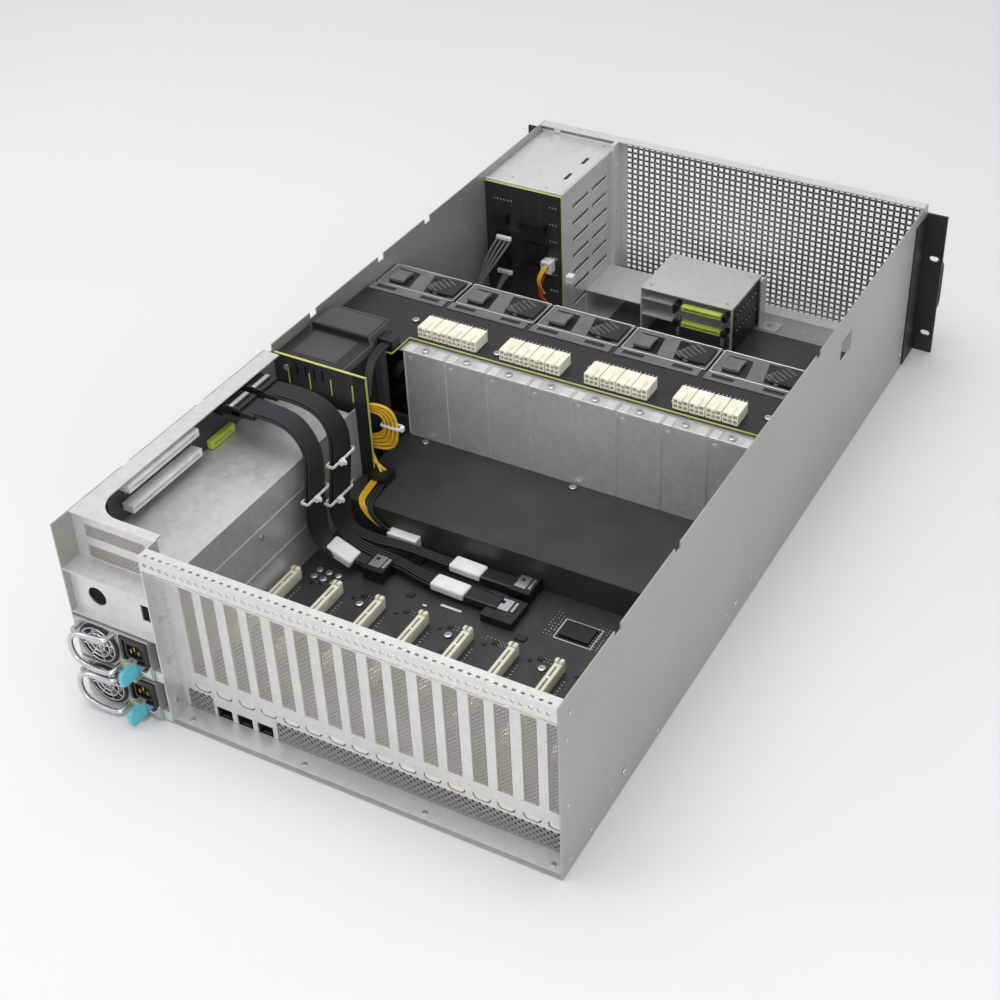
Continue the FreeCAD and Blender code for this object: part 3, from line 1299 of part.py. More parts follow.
def drive_cage():
    """Sheets round eight drive bays: slots in the free side, and a pair of rails under each bay."""
    wall = S.case_sheet
    start, end = S.drive_side, INNER
    depth = (FACE + wall, S.drive_rear)
    high = S.drive_high
    bays = range(int(number(S.drive_bays)))
    slots = []
    for bay in bays[1:]:
        middle = FLOOR + S.drive_foot + bay * DRIVE_PITCH
        back = S.drive_rear - S.louvre_inset
        height = (middle - S.louvre_height / 2, middle + S.louvre_height / 2)
        slots.append(box((start, start + wall), (back - S.louvre_length, back), height))
    sheets = [cut(box((start, start + wall), depth, (FLOOR, high)), slots)]
    sheets.append(box((end - wall, end), depth, (FLOOR, high)))
    for low in (FLOOR, high - wall):
        sheets.append(box((start + wall, end - wall), depth, (low, low + wall)))
    for bay in bays:
        top = bay_middle(bay) - CARRIER_HEIGHT / 2 - S.play
        for left in (start + wall, end - wall - S.drive_rail):
            sheets.append(box((left, left + S.drive_rail), (depth[0] + S.drive_rail_inset, depth[1]),
                              (top - S.drive_rail_thick, top)))
    node("drive_cage", group(sheets))


def drive_carrier(bay):
    """Carrier with a 2.5-inch drive: open bezel with a latch bar, tray and the drive on it."""
    middle = bay_middle(bay)
    wall, rim = S.case_sheet, S.bezel_rim
    low, high = middle - CARRIER_HEIGHT / 2, middle + CARRIER_HEIGHT / 2
    start, end = S.drive_side + wall + S.play, INNER - wall - S.play
    front = FRONT + S.bezel_inset
    back = front + S.bezel_depth
    bezel = box((start, end), (front, back), (low, high))
    across = (start + rim, end - S.latch_side)
    pocket = box(across, (front, back), (low + rim * 0.75, high - rim * 0.75))
    half = S.latch_bar / 2
    latch = box(across, (front + rim / 2, front + rim), (middle - half, middle + half))
    inner = S.drive_rear - S.disk_plug
    tray = box((start, end), (back, inner), (low, low + S.drive_rail_thick))
    left = (start + end - S.disk_width) / 2
    foot = low + S.drive_rail_thick
    disk = box((left, left + S.disk_width), (inner - S.disk_length, inner),
               (foot, foot + CARRIER_HEIGHT - S.disk_room))
    return join([cut(bezel, [pocket]), latch, tray, disk])


def drive_backplane():
    """Upright board behind the drives with one connector for each bay."""
    rear = S.drive_rear
    board = box((S.drive_side + S.play, INNER - S.play), (rear, rear + S.board_thick),
                (FLOOR + S.drive_foot / 2, S.drive_high - S.drive_foot / 2))
    parts = [board]
    middle = (S.drive_side + INNER) / 2
    reach = S.disk_width / 4
    half = CARRIER_HEIGHT / 6
    for bay in range(int(number(S.drive_bays))):
        z = bay_middle(bay)
        depth = (rear - S.disk_plug + S.play, rear)
        parts.append(box((middle - reach, middle + reach), depth, (z - half, z + half)))
    node("drive_backplane", join(parts))


def power_button():
    """Round push button in the strip over the drive bays."""
    centre = (S.button_place, S.button_high)
    node("power_button", prism(centre, S.button_radius, (FACE - S.button_reach, FACE + S.button_depth), 16))


def front_module():
    """Bracket with two small boards behind the grille, and the low shelf beside the drive cage."""
    wall = S.case_sheet
    start, end = S.module_start, S.module_end
    depth = (S.module_front, S.module_rear)
    top, low = S.module_high, FLOOR
    corners = [(start, low), (start + wall, low), (start + wall, top - wall), (end - wall, top - wall)]
    corners += [(end - wall, low), (end, low), (end, top), (start, top)]
    pieces = [plate("XZ", corners, depth)]
    for row in range(2):
        z = S.module_board_low + row * S.module_board_rise
        pieces.append(box((start + wall, end - wall), depth, (z, z + S.board_thick)))
    left, right = S.ledge_start, S.drive_side
    back = FACE + wall
    high = S.ledge_high
    corners = [(left, low), (left + wall, low), (left + wall, high - wall), (right - wall, high - wall)]
    corners += [(right - wall, low), (right, low), (right, high), (left, high)]
    pieces.append(plate("XZ", corners, (FACE + S.post_depth, S.ledge_rear)))
    node("front_module", group(pieces))


# Plugs, cables and screws


def lead_places():
    """X and Y of the power leads on the tongue and on the deck."""
    tongue_end = POWER_REAR + S.power_tongue_depth
    tongue = (CAGE_SIDE - S.power_tongue_side + S.power_tongue / 2, tongue_end - S.lead_inset)
    deck = (CAGE_SIDE - S.lead_socket_side - S.lead_socket / 2, CAGE_FRONT + S.lead_place)
    return tongue, deck


def board_plugs():
    """Plugs and parts that stand on the boards."""
    top = BOARD_TOP
    start = gpu_board_span()[0]
    plugs = []
    for front in (S.ribbon_front, S.ribbon_rear):
        reach = (front - S.plug_rim, front + S.ribbon_width + S.plug_rim)
        height = (S.ribbon_high - S.riser_plug / 2, S.ribbon_high + S.riser_plug / 2)
        plugs.append(box((S.riser_face - S.riser_plug, S.riser_face), reach, height))
    for front, end in ((S.ribbon_front, RIBBON_FRONT_END), (S.ribbon_rear, RIBBON_REAR_END)):
        reach = (front - S.plug_rim, front + S.ribbon_width + S.plug_rim)
        plugs.append(box((end - S.plug_depth, end), reach, (top, top + S.plug_height)))
    left, front = start + S.header_start, S.header_front
    depth = (front, front + S.header_size)
    plugs.append(box((left, left + S.header_size), depth, (top, top + S.header_height)))
    left, front = start + S.chip_start, S.chip_front
    plugs.append(box((left, left + S.chip_width), (front, front + S.chip_depth), (top, top + S.chip_height)))
    (x, y), (deck_x, deck_y) = lead_places()
    half = S.lead_plug_width / 2
    height = (POWER_HIGH, POWER_HIGH + S.lead_plug)
    plugs.append(box((x - half, x + half), (y - S.lead_plug_depth, y), height))
    half = S.lead_socket / 2
    plugs.append(box((deck_x - half, deck_x + half), (deck_y - half, deck_y + half),
                     (S.deck_top, S.deck_top + S.lead_socket_height)))
    rear = S.drive_rear + S.board_thick
    wide, tall = S.drive_side + S.wide_plug_side, S.drive_side + S.tall_plug_side
    for row in range(3):
        z = FLOOR + (S.drive_plug_row + row * S.drive_plug_step) * DRIVE_PITCH
        depth = (rear, rear + S.lead_plug)
        plugs.append(box((wide, wide + S.wide_plug_width), depth, (z, z + S.wide_plug_height)))
        plugs.append(box((tall, tall + S.tall_plug_width), depth, (z, z + S.tall_plug_height)))
    node("board_plugs", group(plugs))


def ribbon(name, front, route):
    """Flat cable: its section swept along a route that stays in one upright plane."""
    places = [(number(x), number(z)) for x, z in route]
    y, width = number(front), number(S.ribbon_width)
    points = rounded_route([Vector(x, y, z) for x, z in places], share=0.45)
    start, half = points[0], number(S.ribbon_thick) / 2
    corners = ((0, -half), (width, -half), (width, half), (0, half))
    node(name, swept(points, [start + Vector(0, side, rise) for side, rise in corners]))


def ribbon_cables():
    """Two braided flat cables from the riser, over the supply cage and down to the GPU board."""
    high, low = S.ribbon_high, BOARD_TOP + S.ribbon_rise
    fall = CAGE_SIDE - S.ribbon_fall
    middle = (high + low) / 2
    bend, bend_end = low + S.ribbon_bend_rise, low + S.ribbon_bend_end
    over = [(S.riser_face - S.riser_plug, high), (CAGE_SIDE + S.ribbon_crest_side, high + S.ribbon_crest)]
    over += [(CAGE_SIDE - S.ribbon_edge, high - S.ribbon_drop), (fall, middle + S.ribbon_fall_start)]
    over += [(fall, middle - S.ribbon_fall_end)]
    front_route = over + [(fall - S.ribbon_bend_end / 2, bend), (fall - S.ribbon_bend, bend_end)]
    front_route += [(fall - S.ribbon_level, low), (RIBBON_FRONT_END, low)]
    ribbon("ribbon_cable_front", S.ribbon_front, front_route)
    rear_route = over + [(fall, bend), (fall - S.ribbon_rear_bend, bend_end)]
    rear_route += [(RIBBON_REAR_END + S.ribbon_rear_bend, low), (RIBBON_REAR_END, low)]
    ribbon("ribbon_cable_rear", S.ribbon_rear, rear_route)


def power_leads():
    """Bundle of power leads from the power board's tongue down to the deck."""
    (x, y), (deck_x, deck_y) = lead_places()
    high = POWER_HIGH + S.lead_radius + S.play
    route = [(x, y, high), (x, y + S.lead_run, high)]
    route += [(deck_x + S.lead_turn_side, deck_y - S.lead_turn_front, high - S.lead_turn)]
    route += [(deck_x, deck_y, high - S.lead_fall), (deck_x, deck_y, S.deck_top + S.lead_socket_height)]
    node("power_leads", bent_bar(route, S.lead_radius, share=0.4, sides=8))


def shared(span, share):
    """A place at a share of the way along a span."""
    return span[0] + share * (span[1] - span[0])


def board_standoffs():
    """The posts that the boards stand on."""
    posts = []
    across = (S.power_board_margin - INNER, S.power_board_end)
    for share in POWER_POSTS:
        y = (POWER_FRONT + POWER_REAR) / 2 + S.post_radius * 3
        posts.append(post(shared(across, share), y, S.post_radius, (S.shelf_top, POWER_LOW), 4))
    across, depth = gpu_board_span(), (S.gpu_board_front, S.gpu_board_rear)
    height = (S.main_board_low + S.board_thick, BOARD_TOP - S.gpu_board_thick)
    for share in GPU_POSTS[0]:
        for row in GPU_POSTS[1]:
            posts.append(post(shared(across, share), shared(depth, row), S.post_radius, height, 4))
    across, depth = main_board_span(), (FAN_REAR + S.main_board_lead, S.gpu_board_rear)
    height = (FLOOR, S.main_board_low)
    for share in MAIN_POSTS[0]:
        for row in MAIN_POSTS[1]:
            posts.append(post(shared(across, share), shared(depth, row), S.post_radius, height, 4))
    low = CAGE_TOP + 3 * S.riser_foot
    for share in RISER_POSTS:
        y = shared((S.riser_front, S.riser_rear), share)
        reach = (y - S.post_radius, y + S.post_radius)
        posts.append(box((S.riser_face + S.board_thick, INNER), reach, (low, low + 2 * S.post_radius)))
    node("board_standoffs", group(posts))


def build():
    """Every piece of the server."""
    chassis_tray()
    node("rack_ears", group(rack_ear(1) + rack_ear(-1)))
    front_frame()
    front_grille()
    rear_slot_panel()
    slot_covers()
    slot_retention_bar()
    rear_top_plate()
    psu_cage()
    power_supplies()
    rear_left_panels()
    psu_backplane()
    power_duct_cover()
    power_board()
    power_connectors()
    gpu_blank_plates()
    deck_cover()
    gpu_board()
    card_slots()
    riser_board()
    main_board()
    processor_heatsinks()
    fan_cage()
    fan_modules()
    drive_cage()
    for bay in range(int(number(S.drive_bays))):
        node(f"drive_carrier_{bay + 1}", drive_carrier(bay))
    drive_backplane()
    power_button()
    front_module()
    board_plugs()
    ribbon_cables()
    power_leads()
    board_standoffs()
    doc.recompute()


def check_and_write():
    """Stop if anything failed, then write one file for each named piece."""
    for item in doc.Objects:
        if "Invalid" in item.State or "Error" in item.State:
            raise RuntimeError(f"{item.Name} ({item.Label}) failed: {item.State}")
    for item in NODES:
        if item.Shape.isNull() or not item.Shape.isValid() or not item.Shape.Solids:
            raise RuntimeError(f"{item.Label} has no valid shape")
    for item in NODES:
        item.Shape.exportStep(f"parts/{item.Label}.step")
    print(len(NODES), "pieces written")


build()
check_and_write()
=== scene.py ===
import math

import bpy
from mathutils import Matrix, Vector


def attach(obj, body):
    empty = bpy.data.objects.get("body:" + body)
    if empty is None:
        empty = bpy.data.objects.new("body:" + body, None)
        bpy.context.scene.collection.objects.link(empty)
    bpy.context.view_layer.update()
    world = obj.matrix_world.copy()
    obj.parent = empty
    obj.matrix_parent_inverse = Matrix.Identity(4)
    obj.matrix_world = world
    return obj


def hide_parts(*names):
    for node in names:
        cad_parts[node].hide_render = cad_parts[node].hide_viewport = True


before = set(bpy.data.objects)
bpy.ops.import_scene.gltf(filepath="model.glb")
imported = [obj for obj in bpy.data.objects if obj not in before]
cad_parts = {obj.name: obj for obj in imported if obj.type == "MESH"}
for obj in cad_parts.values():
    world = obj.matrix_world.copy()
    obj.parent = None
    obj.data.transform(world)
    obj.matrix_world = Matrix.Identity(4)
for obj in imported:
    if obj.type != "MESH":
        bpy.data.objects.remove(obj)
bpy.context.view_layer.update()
bpy.ops.object.select_all(action="DESELECT")

MM = 0.001
HAIR = 0.1 * MM
CASE = "case"


# Materials


def linear(hex_colour):
    """Linear RGBA of an sRGB hex colour."""
    channels = [int(hex_colour[place:place + 2], 16) / 255 for place in (1, 3, 5)]
    return [c / 12.92 if c <= 0.04045 else ((c + 0.055) / 1.055) ** 2.4 for c in channels] + [1.0]


def add(tree, kind, settings=None, **links):
    """Add a shader node, set its properties or sockets, and link its inputs."""
    made = tree.nodes.new(kind)
    for name, value in (settings or {}).items():
        if hasattr(made, name):
            setattr(made, name, value)
        else:
            made.inputs[name].default_value = value
    for name, source in links.items():
        target = made.inputs[int(name[1:])] if name[0] == "_" else made.inputs[name]
        tree.links.new(source, target)
    return made


def start(name, colour, roughness, metallic=0.0):
    """A new material with its shader, and the coordinates that patterns read."""
    material = bpy.data.materials.new(name)
    material.use_nodes = True
    tree = material.node_tree
    shader = tree.nodes["Principled BSDF"]
    shader.inputs["Base Color"].default_value = linear(colour)
    shader.inputs["Roughness"].default_value = roughness
    shader.inputs["Metallic"].default_value = metallic
    place = add(tree, "ShaderNodeTexCoord").outputs["Object"]
    return material, tree, shader, place


def tint(tree, shader, factor, dark, light, low=0.0, high=1.0):
    """Base colour that runs from dark to light with a factor."""
    ramp = add(tree, "ShaderNodeValToRGB", _0=factor)
    ramp.color_ramp.elements[0].color = linear(dark)
    ramp.color_ramp.elements[1].color = linear(light)
    ramp.color_ramp.elements[0].position = low
    ramp.color_ramp.elements[1].position = high
    tree.links.new(ramp.outputs["Color"], shader.inputs["Base Color"])
    return ramp


def roughen(tree, shader, factor, low, high):
    """Roughness that runs from low to high with a factor."""
    spread = add(tree, "ShaderNodeMapRange", {"To Min": low, "To Max": high}, Value=factor)
    tree.links.new(spread.outputs["Result"], shader.inputs["Roughness"])


def bump(tree, shader, height, depth, strength=1.0):
    """Surface relief of a depth in metres."""
    relief = add(tree, "ShaderNodeBump", {"Distance": depth, "Strength": strength}, Height=height)
    tree.links.new(relief.outputs["Normal"], shader.inputs["Normal"])


def noise(tree, place, size, detail=3.0, stretch=(1, 1, 1)):
    """Noise whose grain has a real size in metres."""
    spread = add(tree, "ShaderNodeMapping", {"Scale": [1 / size * part for part in stretch]}, Vector=place)
    spread = spread.outputs["Vector"]
    return add(tree, "ShaderNodeTexNoise", {"Scale": 1.0, "Detail": detail}, Vector=spread).outputs["Fac"]


def galvanised_steel(name, dark, light, roughness=0.4, metallic=0.45):
    """Hot-dip galvanised sheet: faint grey spangle about 5 mm across, fine rolling marks, satin gloss."""
    material, tree, shader, place = start(name, light, roughness, metallic)
    cloud = noise(tree, place, 160 * MM, 2.0)
    spread = add(tree, "ShaderNodeMapping", {"Scale": [1 / (5 * MM)] * 3}, Vector=place)
    spangle = add(tree, "ShaderNodeTexVoronoi", {"Scale": 1.0}, Vector=spread.outputs["Vector"])
    grey = add(tree, "ShaderNodeRGBToBW", Color=spangle.outputs["Color"]).outputs["Val"]
    mixed = add(tree, "ShaderNodeMix", {"Factor": 0.3}, A=cloud, B=grey)
    tint(tree, shader, mixed.outputs["Result"], dark, light, 0.2, 0.8)
    grain = noise(tree, place, 0.9 * MM, 2.0)
    roughen(tree, shader, grey, roughness - 0.05, roughness + 0.06)
    bump(tree, shader, grain, 0.02 * MM, 0.3)
    return material


def brushed_sheet(name, dark, light):
    """Zinc-plated sheet with fine brush lines along X, drawn 0.6 mm apart so that they show."""
    material, tree, shader, place = start(name, light, 0.42, 0.35)
    lines = noise(tree, place, 0.6 * MM, 3.0, (0.02, 1, 1))
    cloud = noise(tree, place, 60 * MM, 3.0)
    mixed = add(tree, "ShaderNodeMix", {"Factor": 0.35}, A=cloud, B=lines)
    tint(tree, shader, mixed.outputs["Result"], dark, light, 0.3, 0.65)
    roughen(tree, shader, lines, 0.36, 0.52)
    bump(tree, shader, lines, 0.01 * MM, 0.3)
    return material


def powder_coat(name, dark, light, roughness=0.5):
    """Black powder coat: fine orange peel about 0.8 mm across."""
    material, tree, shader, place = start(name, light, roughness)
    peel = noise(tree, place, 0.8 * MM, 2.0)
    cloud = noise(tree, place, 50 * MM, 3.0)
    tint(tree, shader, cloud, dark, light, 0.3, 0.7)
    roughen(tree, shader, cloud, roughness - 0.06, roughness + 0.06)
    bump(tree, shader, peel, 0.04 * MM, 0.4)
    return material


def moulded_nylon(name, dark, light, roughness=0.42):
    """Moulded nylon: even colour with faint flow clouds and a fine satin texture."""
    material, tree, shader, place = start(name, light, roughness)
    cloud = noise(tree, place, 12 * MM, 3.0)
    tint(tree, shader, cloud, dark, light, 0.25, 0.75)
    bump(tree, shader, noise(tree, place, 0.4 * MM), 0.02 * MM, 0.4)
    return material


def solder_mask(name, dark, light):
    """Circuit board under dark solder mask: rows of traces 1.8 mm apart show as a faint relief."""
    material, tree, shader, place = start(name, light, 0.36)
    spread = add(tree, "ShaderNodeMapping", {"Scale": [1 / (5 * MM)] * 3}, Vector=place)
    bricks = add(tree, "ShaderNodeTexBrick", {"Scale": 1.0, "Mortar Size": 0.06, "Brick Width": 3.4,
                                              "Row Height": 0.35}, Vector=spread.outputs["Vector"])
    patch = noise(tree, place, 26 * MM, 2.0)
    traces = add(tree, "ShaderNodeMath", {"operation": "MULTIPLY"}, _0=bricks.outputs["Fac"], _1=patch)
    tint(tree, shader, traces.outputs["Value"], dark, light, 0.2, 0.6)
    bump(tree, shader, traces.outputs["Value"], 0.05 * MM, 0.5)
    return material


def bare_metal(name, colour, roughness):
    """Small turned or stamped metal parts with faint tool marks."""
    material, tree, shader, place = start(name, colour, roughness, 1.0)
    marks = noise(tree, place, 0.5 * MM, 3.0)
    roughen(tree, shader, marks, roughness - 0.08, roughness + 0.12)
    bump(tree, shader, marks, 0.01 * MM, 0.3)
    return material


def braided_sleeve(name, dark, light, strand):
    """Braided cable sleeve: crossing strands of a real width, dark between them."""
    material, tree, shader, _ = start(name, light, 0.5)
    along = add(tree, "ShaderNodeUVMap").outputs["UV"]
    weave = []
    for turn in (math.pi / 4, -math.pi / 4):
        spread = add(tree, "ShaderNodeMapping", {"Scale": [1 / strand] * 3, "Rotation": (0, 0, turn)},
                     Vector=along)
        weave.append(add(tree, "ShaderNodeTexWave", {"Scale": 0.35, "Distortion": 0.0},
                         Vector=spread.outputs["Vector"]).outputs["Fac"])
    cross = add(tree, "ShaderNodeMath", {"operation": "MULTIPLY"}, _0=weave[0], _1=weave[1])
    cross = cross.outputs["Value"]
    tint(tree, shader, cross, dark, light, 0.1, 0.7)
    bump(tree, shader, cross, 0.3 * MM, 0.6)
    return material


CASE_STEEL = galvanised_steel("galvanised_case_steel", "#A2A29B", "#B4B4AD")
PANEL_STEEL = galvanised_steel("galvanised_panel_steel", "#CFCFCB", "#E2E2DF")
CAGE_STEEL = galvanised_steel("galvanised_cage_steel", "#C4C6C5", "#DCDEDD", 0.34, 0.5)
COVER_STEEL = brushed_sheet("nickel_plated_cover", "#D8D1C4", "#EEE8DC")
EAR_COAT = powder_coat("black_powder_coat", "#101010", "#1F1E1E")
DECK_COAT = powder_coat("dark_grey_powder_coat", "#2C2B2A", "#3A3938", 0.42)
BLACK_COAT = powder_coat("satin_black_coat", "#161616", "#222222", 0.38)
BOARD_MASK = solder_mask("dark_solder_mask", "#2B2B2D", "#46464A")
BLACK_MASK = solder_mask("black_solder_mask", "#141416", "#2A2A2C")
BOARD_EDGE = moulded_nylon("bare_board_edge", "#B4B45C", "#CFCF7E", 0.5)
CREAM_NYLON = moulded_nylon("cream_nylon", "#DEDBC6", "#F1EFDF")
WHITE_NYLON = moulded_nylon("white_nylon", "#DADADA", "#F2F2F2")
BLACK_NYLON = moulded_nylon("black_nylon", "#0E0E0F", "#1C1C1E")
LIME_NYLON = moulded_nylon("yellow_green_nylon", "#A9C24A", "#C6DC66")
CYAN_NYLON = moulded_nylon("cyan_nylon", "#4FA9B8", "#6ACBDA", 0.35)
RED_WIRE = moulded_nylon("red_wire_sleeve", "#8E1F18", "#B5342A", 0.4)
FIN_ALUMINIUM = bare_metal("fin_aluminium", "#C9CACC", 0.35)
SUPPLY_STEEL = galvanised_steel("galvanised_supply_steel", "#A8A8A4", "#C6C6C2", 0.36, 0.55)
YELLOW_WIRE = moulded_nylon("yellow_wire_sleeve", "#C99A14", "#EBC034", 0.4)
LABEL_PAPER = moulded_nylon("blank_white_label", "#DCDEDE", "#F0F1F1", 0.6)
BRASS = bare_metal("turned_brass", "#B59A58", 0.3)
ZINC = bare_metal("zinc_plated_screw", "#D2D4D6", 0.28)
FAN_GREY = moulded_nylon("grey_nylon", "#5C5B5B", "#6E6D6C", 0.4)
LATCH_NYLON = moulded_nylon("dark_grey_nylon", "#4A4849", "#605D5D", 0.38)
CHIP_BLACK = moulded_nylon("black_epoxy_package", "#141415", "#232325", 0.3)
SILK_WHITE = moulded_nylon("white_board_print", "#C9CACA", "#E2E3E3", 0.7)
SOLDER = bare_metal("tinned_solder_pad", "#C4C6C8", 0.3)
DUCT_FOLD = powder_coat("mid_grey_fold", "#4E4D4C", "#6A6967", 0.4)
# Dark grey sheet of the duct cover's lid and label field; the same material is the painted shade on the
# case's floor.
DUCT_LID_AND_FLOOR_SHADE = powder_coat("dark_grey_lid_and_floor_shade", "#343334", "#444243", 0.36)
STRAND = 1.6 * MM
BRAID = braided_sleeve("black_braid_sleeve", "#070808", "#262C2F", STRAND)
TEAL_BRAID = braided_sleeve("teal_braid_sleeve", "#0A1011", "#2A3F40", STRAND)
GREY_BRAID = braided_sleeve("grey_braid_sleeve", "#4A4B4C", "#8E9090", STRAND)

# Finish of the CAD nodes: by their whole names, or else by how their names start
NODES_OF = {
    CASE_STEEL: ("chassis_tray",),
    EAR_COAT: ("rack_ears",),
    PANEL_STEEL: ("front_frame", "front_grille", "rear_slot_panel", "slot_retention_bar",
                  "rear_top_plate", "rear_left_panels", "front_module"),
    COVER_STEEL: ("slot_covers",),
    CAGE_STEEL: ("psu_cage", "gpu_blank_plates", "fan_cage", "drive_cage"),
    BOARD_MASK: ("psu_backplane", "gpu_board", "riser_board", "main_board", "drive_backplane"),
    BLACK_COAT: ("power_duct_cover",),
    BLACK_MASK: ("power_board",),
    CREAM_NYLON: ("power_connectors", "card_slots"),
    DECK_COAT: ("deck_cover",),
    FIN_ALUMINIUM: ("processor_heatsinks",),
    BLACK_NYLON: ("board_plugs", "ribbon_cable_front", "ribbon_cable_rear", "power_button"),
    YELLOW_WIRE: ("power_leads",),
    BRASS: ("board_standoffs",),
}
NODE_FINISH = {node: material for material, nodes in NODES_OF.items() for node in nodes}
PREFIX_FINISH = {"fan_": BLACK_NYLON, "psu_tab": CYAN_NYLON, "psu_rotor": BLACK_NYLON, "psu_": SUPPLY_STEEL,
                 "drive_carrier": CAGE_STEEL}


def finish_of(name):
    """Material of a CAD node."""
    if name in NODE_FINISH:
        return NODE_FINISH[name]
    return next(material for prefix, material in PREFIX_FINISH.items() if name.startswith(prefix))


def dress(thing, material):
    """Put one material on an object."""
    thing.data.materials.clear()
    thing.data.materials.append(material)


for node_name, node_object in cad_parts.items():
    dress(node_object, finish_of(node_name))


# Modelling


def clear():
    """Deselect everything, so that the next operator acts on its own piece."""
    if bpy.context.mode != "OBJECT":
        bpy.ops.object.mode_set(mode="OBJECT")
    bpy.ops.object.select_all(action="DESELECT")


def only(*pieces):
    """Select these pieces, the first one active."""
    clear()
    for piece in pieces:
        piece.select_set(True)
    bpy.context.view_layer.objects.active = pieces[0]
    return pieces[0]


def settle(piece):
    """Put a piece's place, turn and size into its mesh."""
    only(piece)
    bpy.ops.object.transform_apply(location=True, rotation=True, scale=True)
    return piece


def edit(select=None):
    """Enter edit mode, and select or deselect everything there."""
    bpy.ops.object.mode_set(mode="EDIT")
    if select:
        bpy.ops.mesh.select_all(action=select)


def leave_edit():
    """Back to object mode."""
    bpy.ops.object.mode_set(mode="OBJECT")


def bevel_selected(offset, steps):
    """Bevel what is selected in edit mode by millimetres, and leave that mode."""
    bpy.ops.mesh.bevel(offset=offset * MM, segments=steps, affect="EDGES")
    leave_edit()


def span(middle, half):
    """Reach of a part about its middle."""
    return middle - half, middle + half


def block(x, y, z, ease=0.0, steps=1):
    """A block between two places along each axis in millimetres, its edges eased."""
    clear()
    middle = [(low + high) / 2 * MM for low, high in (x, y, z)]
    size = [(high - low) * MM for low, high in (x, y, z)]
    bpy.ops.mesh.primitive_cube_add(size=1, location=middle, scale=size)
    piece = settle(bpy.context.active_object)
    if ease:
        edit("SELECT")
        bevel_selected(ease, steps)
    return piece


def blocks(places, ease=0.0, steps=1):
    """Several blocks with the same eased edges, each given by its reach along x, y and z."""
    return [block(x, y, z, ease, steps) for x, y, z in places]


TURNS = {"x": (0, math.pi / 2, 0), "y": (-math.pi / 2, 0, 0), "z": (0, 0, 0)}


def disc(centre, radius, length, axis="z", sides=12, ease=0.0):
    """A round bar about a centre in millimetres, its rims eased."""
    clear()
    bpy.ops.mesh.primitive_cylinder_add(vertices=sides, radius=radius * MM, depth=length * MM,
                                        location=[place * MM for place in centre], rotation=TURNS[axis])
    piece = settle(bpy.context.active_object)
    if ease:
        edit("DESELECT")
        leave_edit()
        for face in piece.data.polygons:
            face.select = len(face.vertices) > 4
        edit()
        bevel_selected(ease, 2)
    return piece


def ease_where(piece, chosen, offset, steps):
    """Bevel the edges whose two ends pass a test."""
    only(piece)
    for part in (*piece.data.vertices, *piece.data.polygons):
        part.select = False
    for edge in piece.data.edges:
        edge.select = chosen(*[piece.data.vertices[index].co for index in edge.vertices])
    bpy.context.tool_settings.mesh_select_mode = (False, True, False)
    edit()
    bevel_selected(offset, steps)
    bpy.context.tool_settings.mesh_select_mode = (True, False, False)
    return piece


def moved(piece, shift):
    """Move a finished piece's mesh by millimetres, its object left at the origin."""
    piece.data.transform(Matrix.Translation(Vector(shift) * MM))
    return piece


def finish_modifiers(piece):
    """Apply every modifier of a piece."""
    only(piece)
    for modifier in list(piece.modifiers):
        bpy.ops.object.modifier_apply(modifier=modifier.name)
    return piece


def carve(piece, cutters):
    """Cut pieces out of another one, and remove them."""
    tool = join(cutters)
    cutting = piece.modifiers.new("cut", "BOOLEAN")
    cutting.operation = "DIFFERENCE"
    cutting.solver = "EXACT"
    cutting.object = tool
    finish_modifiers(piece)
    bpy.data.objects.remove(tool, do_unlink=True)
    return piece


def twin(piece, shift):
    """A copy of a piece with its own mesh, moved by millimetres."""
    made = piece.copy()
    made.data = piece.data.copy()
    bpy.context.collection.objects.link(made)
    return moved(made, shift)


def row(piece, count, step):
    """A piece and its copies at even steps."""
    return [piece] + [twin(piece, Vector(step) * place) for place in range(1, count)]


def at_places(piece, places):
    """Copies of a piece at places measured from the origin. The first one is used up."""
    made = [twin(piece, place) for place in places]
    bpy.data.objects.remove(piece, do_unlink=True)
    return made


def join(pieces):
    """Several pieces made into one object."""
    first = only(*pieces)
    if len(pieces) > 1:
        bpy.ops.object.join()
    return first


def shade(piece, angle=35):
    """Smooth shading up to an angle between faces."""
    only(piece)
    bpy.ops.object.shade_smooth_by_angle(angle=math.radians(angle))
    return piece


def place_piece(pieces, name, material, body=CASE, replaced=()):
    """Join pieces under a name, give them their finish and the body they ride on."""
    made = join(pieces)
    made.name = name
    made.data.name = name
    dress(made, material)
    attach(made, body)
    if replaced:
        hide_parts(*replaced)
    return made


def pierced_cell(width, height, hole):
    """One cell of perforated sheet, lying flat: a rectangle round an eight-sided hole.

    The circle's own corners become the hole. The outer ring is scaled to the cell, and its four
    corner vertices are then pushed out to the rectangle's corners.
    """
    clear()
    bpy.ops.mesh.primitive_circle_add(vertices=8, radius=hole / 2 * MM)
    cell = bpy.context.active_object
    edit("SELECT")
    bpy.ops.mesh.extrude_edges_move()
    bpy.ops.transform.resize(value=(width / hole, height / hole, 1))
    leave_edit()
    for vertex in cell.data.vertices:
        outer = vertex.co.length > 0.501 * hole * MM
        vertex.select = outer and min(abs(vertex.co.x), abs(vertex.co.y)) > 0.1 * hole * MM
    edit()
    bpy.ops.transform.resize(value=(math.sqrt(2), math.sqrt(2), 1))
    leave_edit()
    return cell


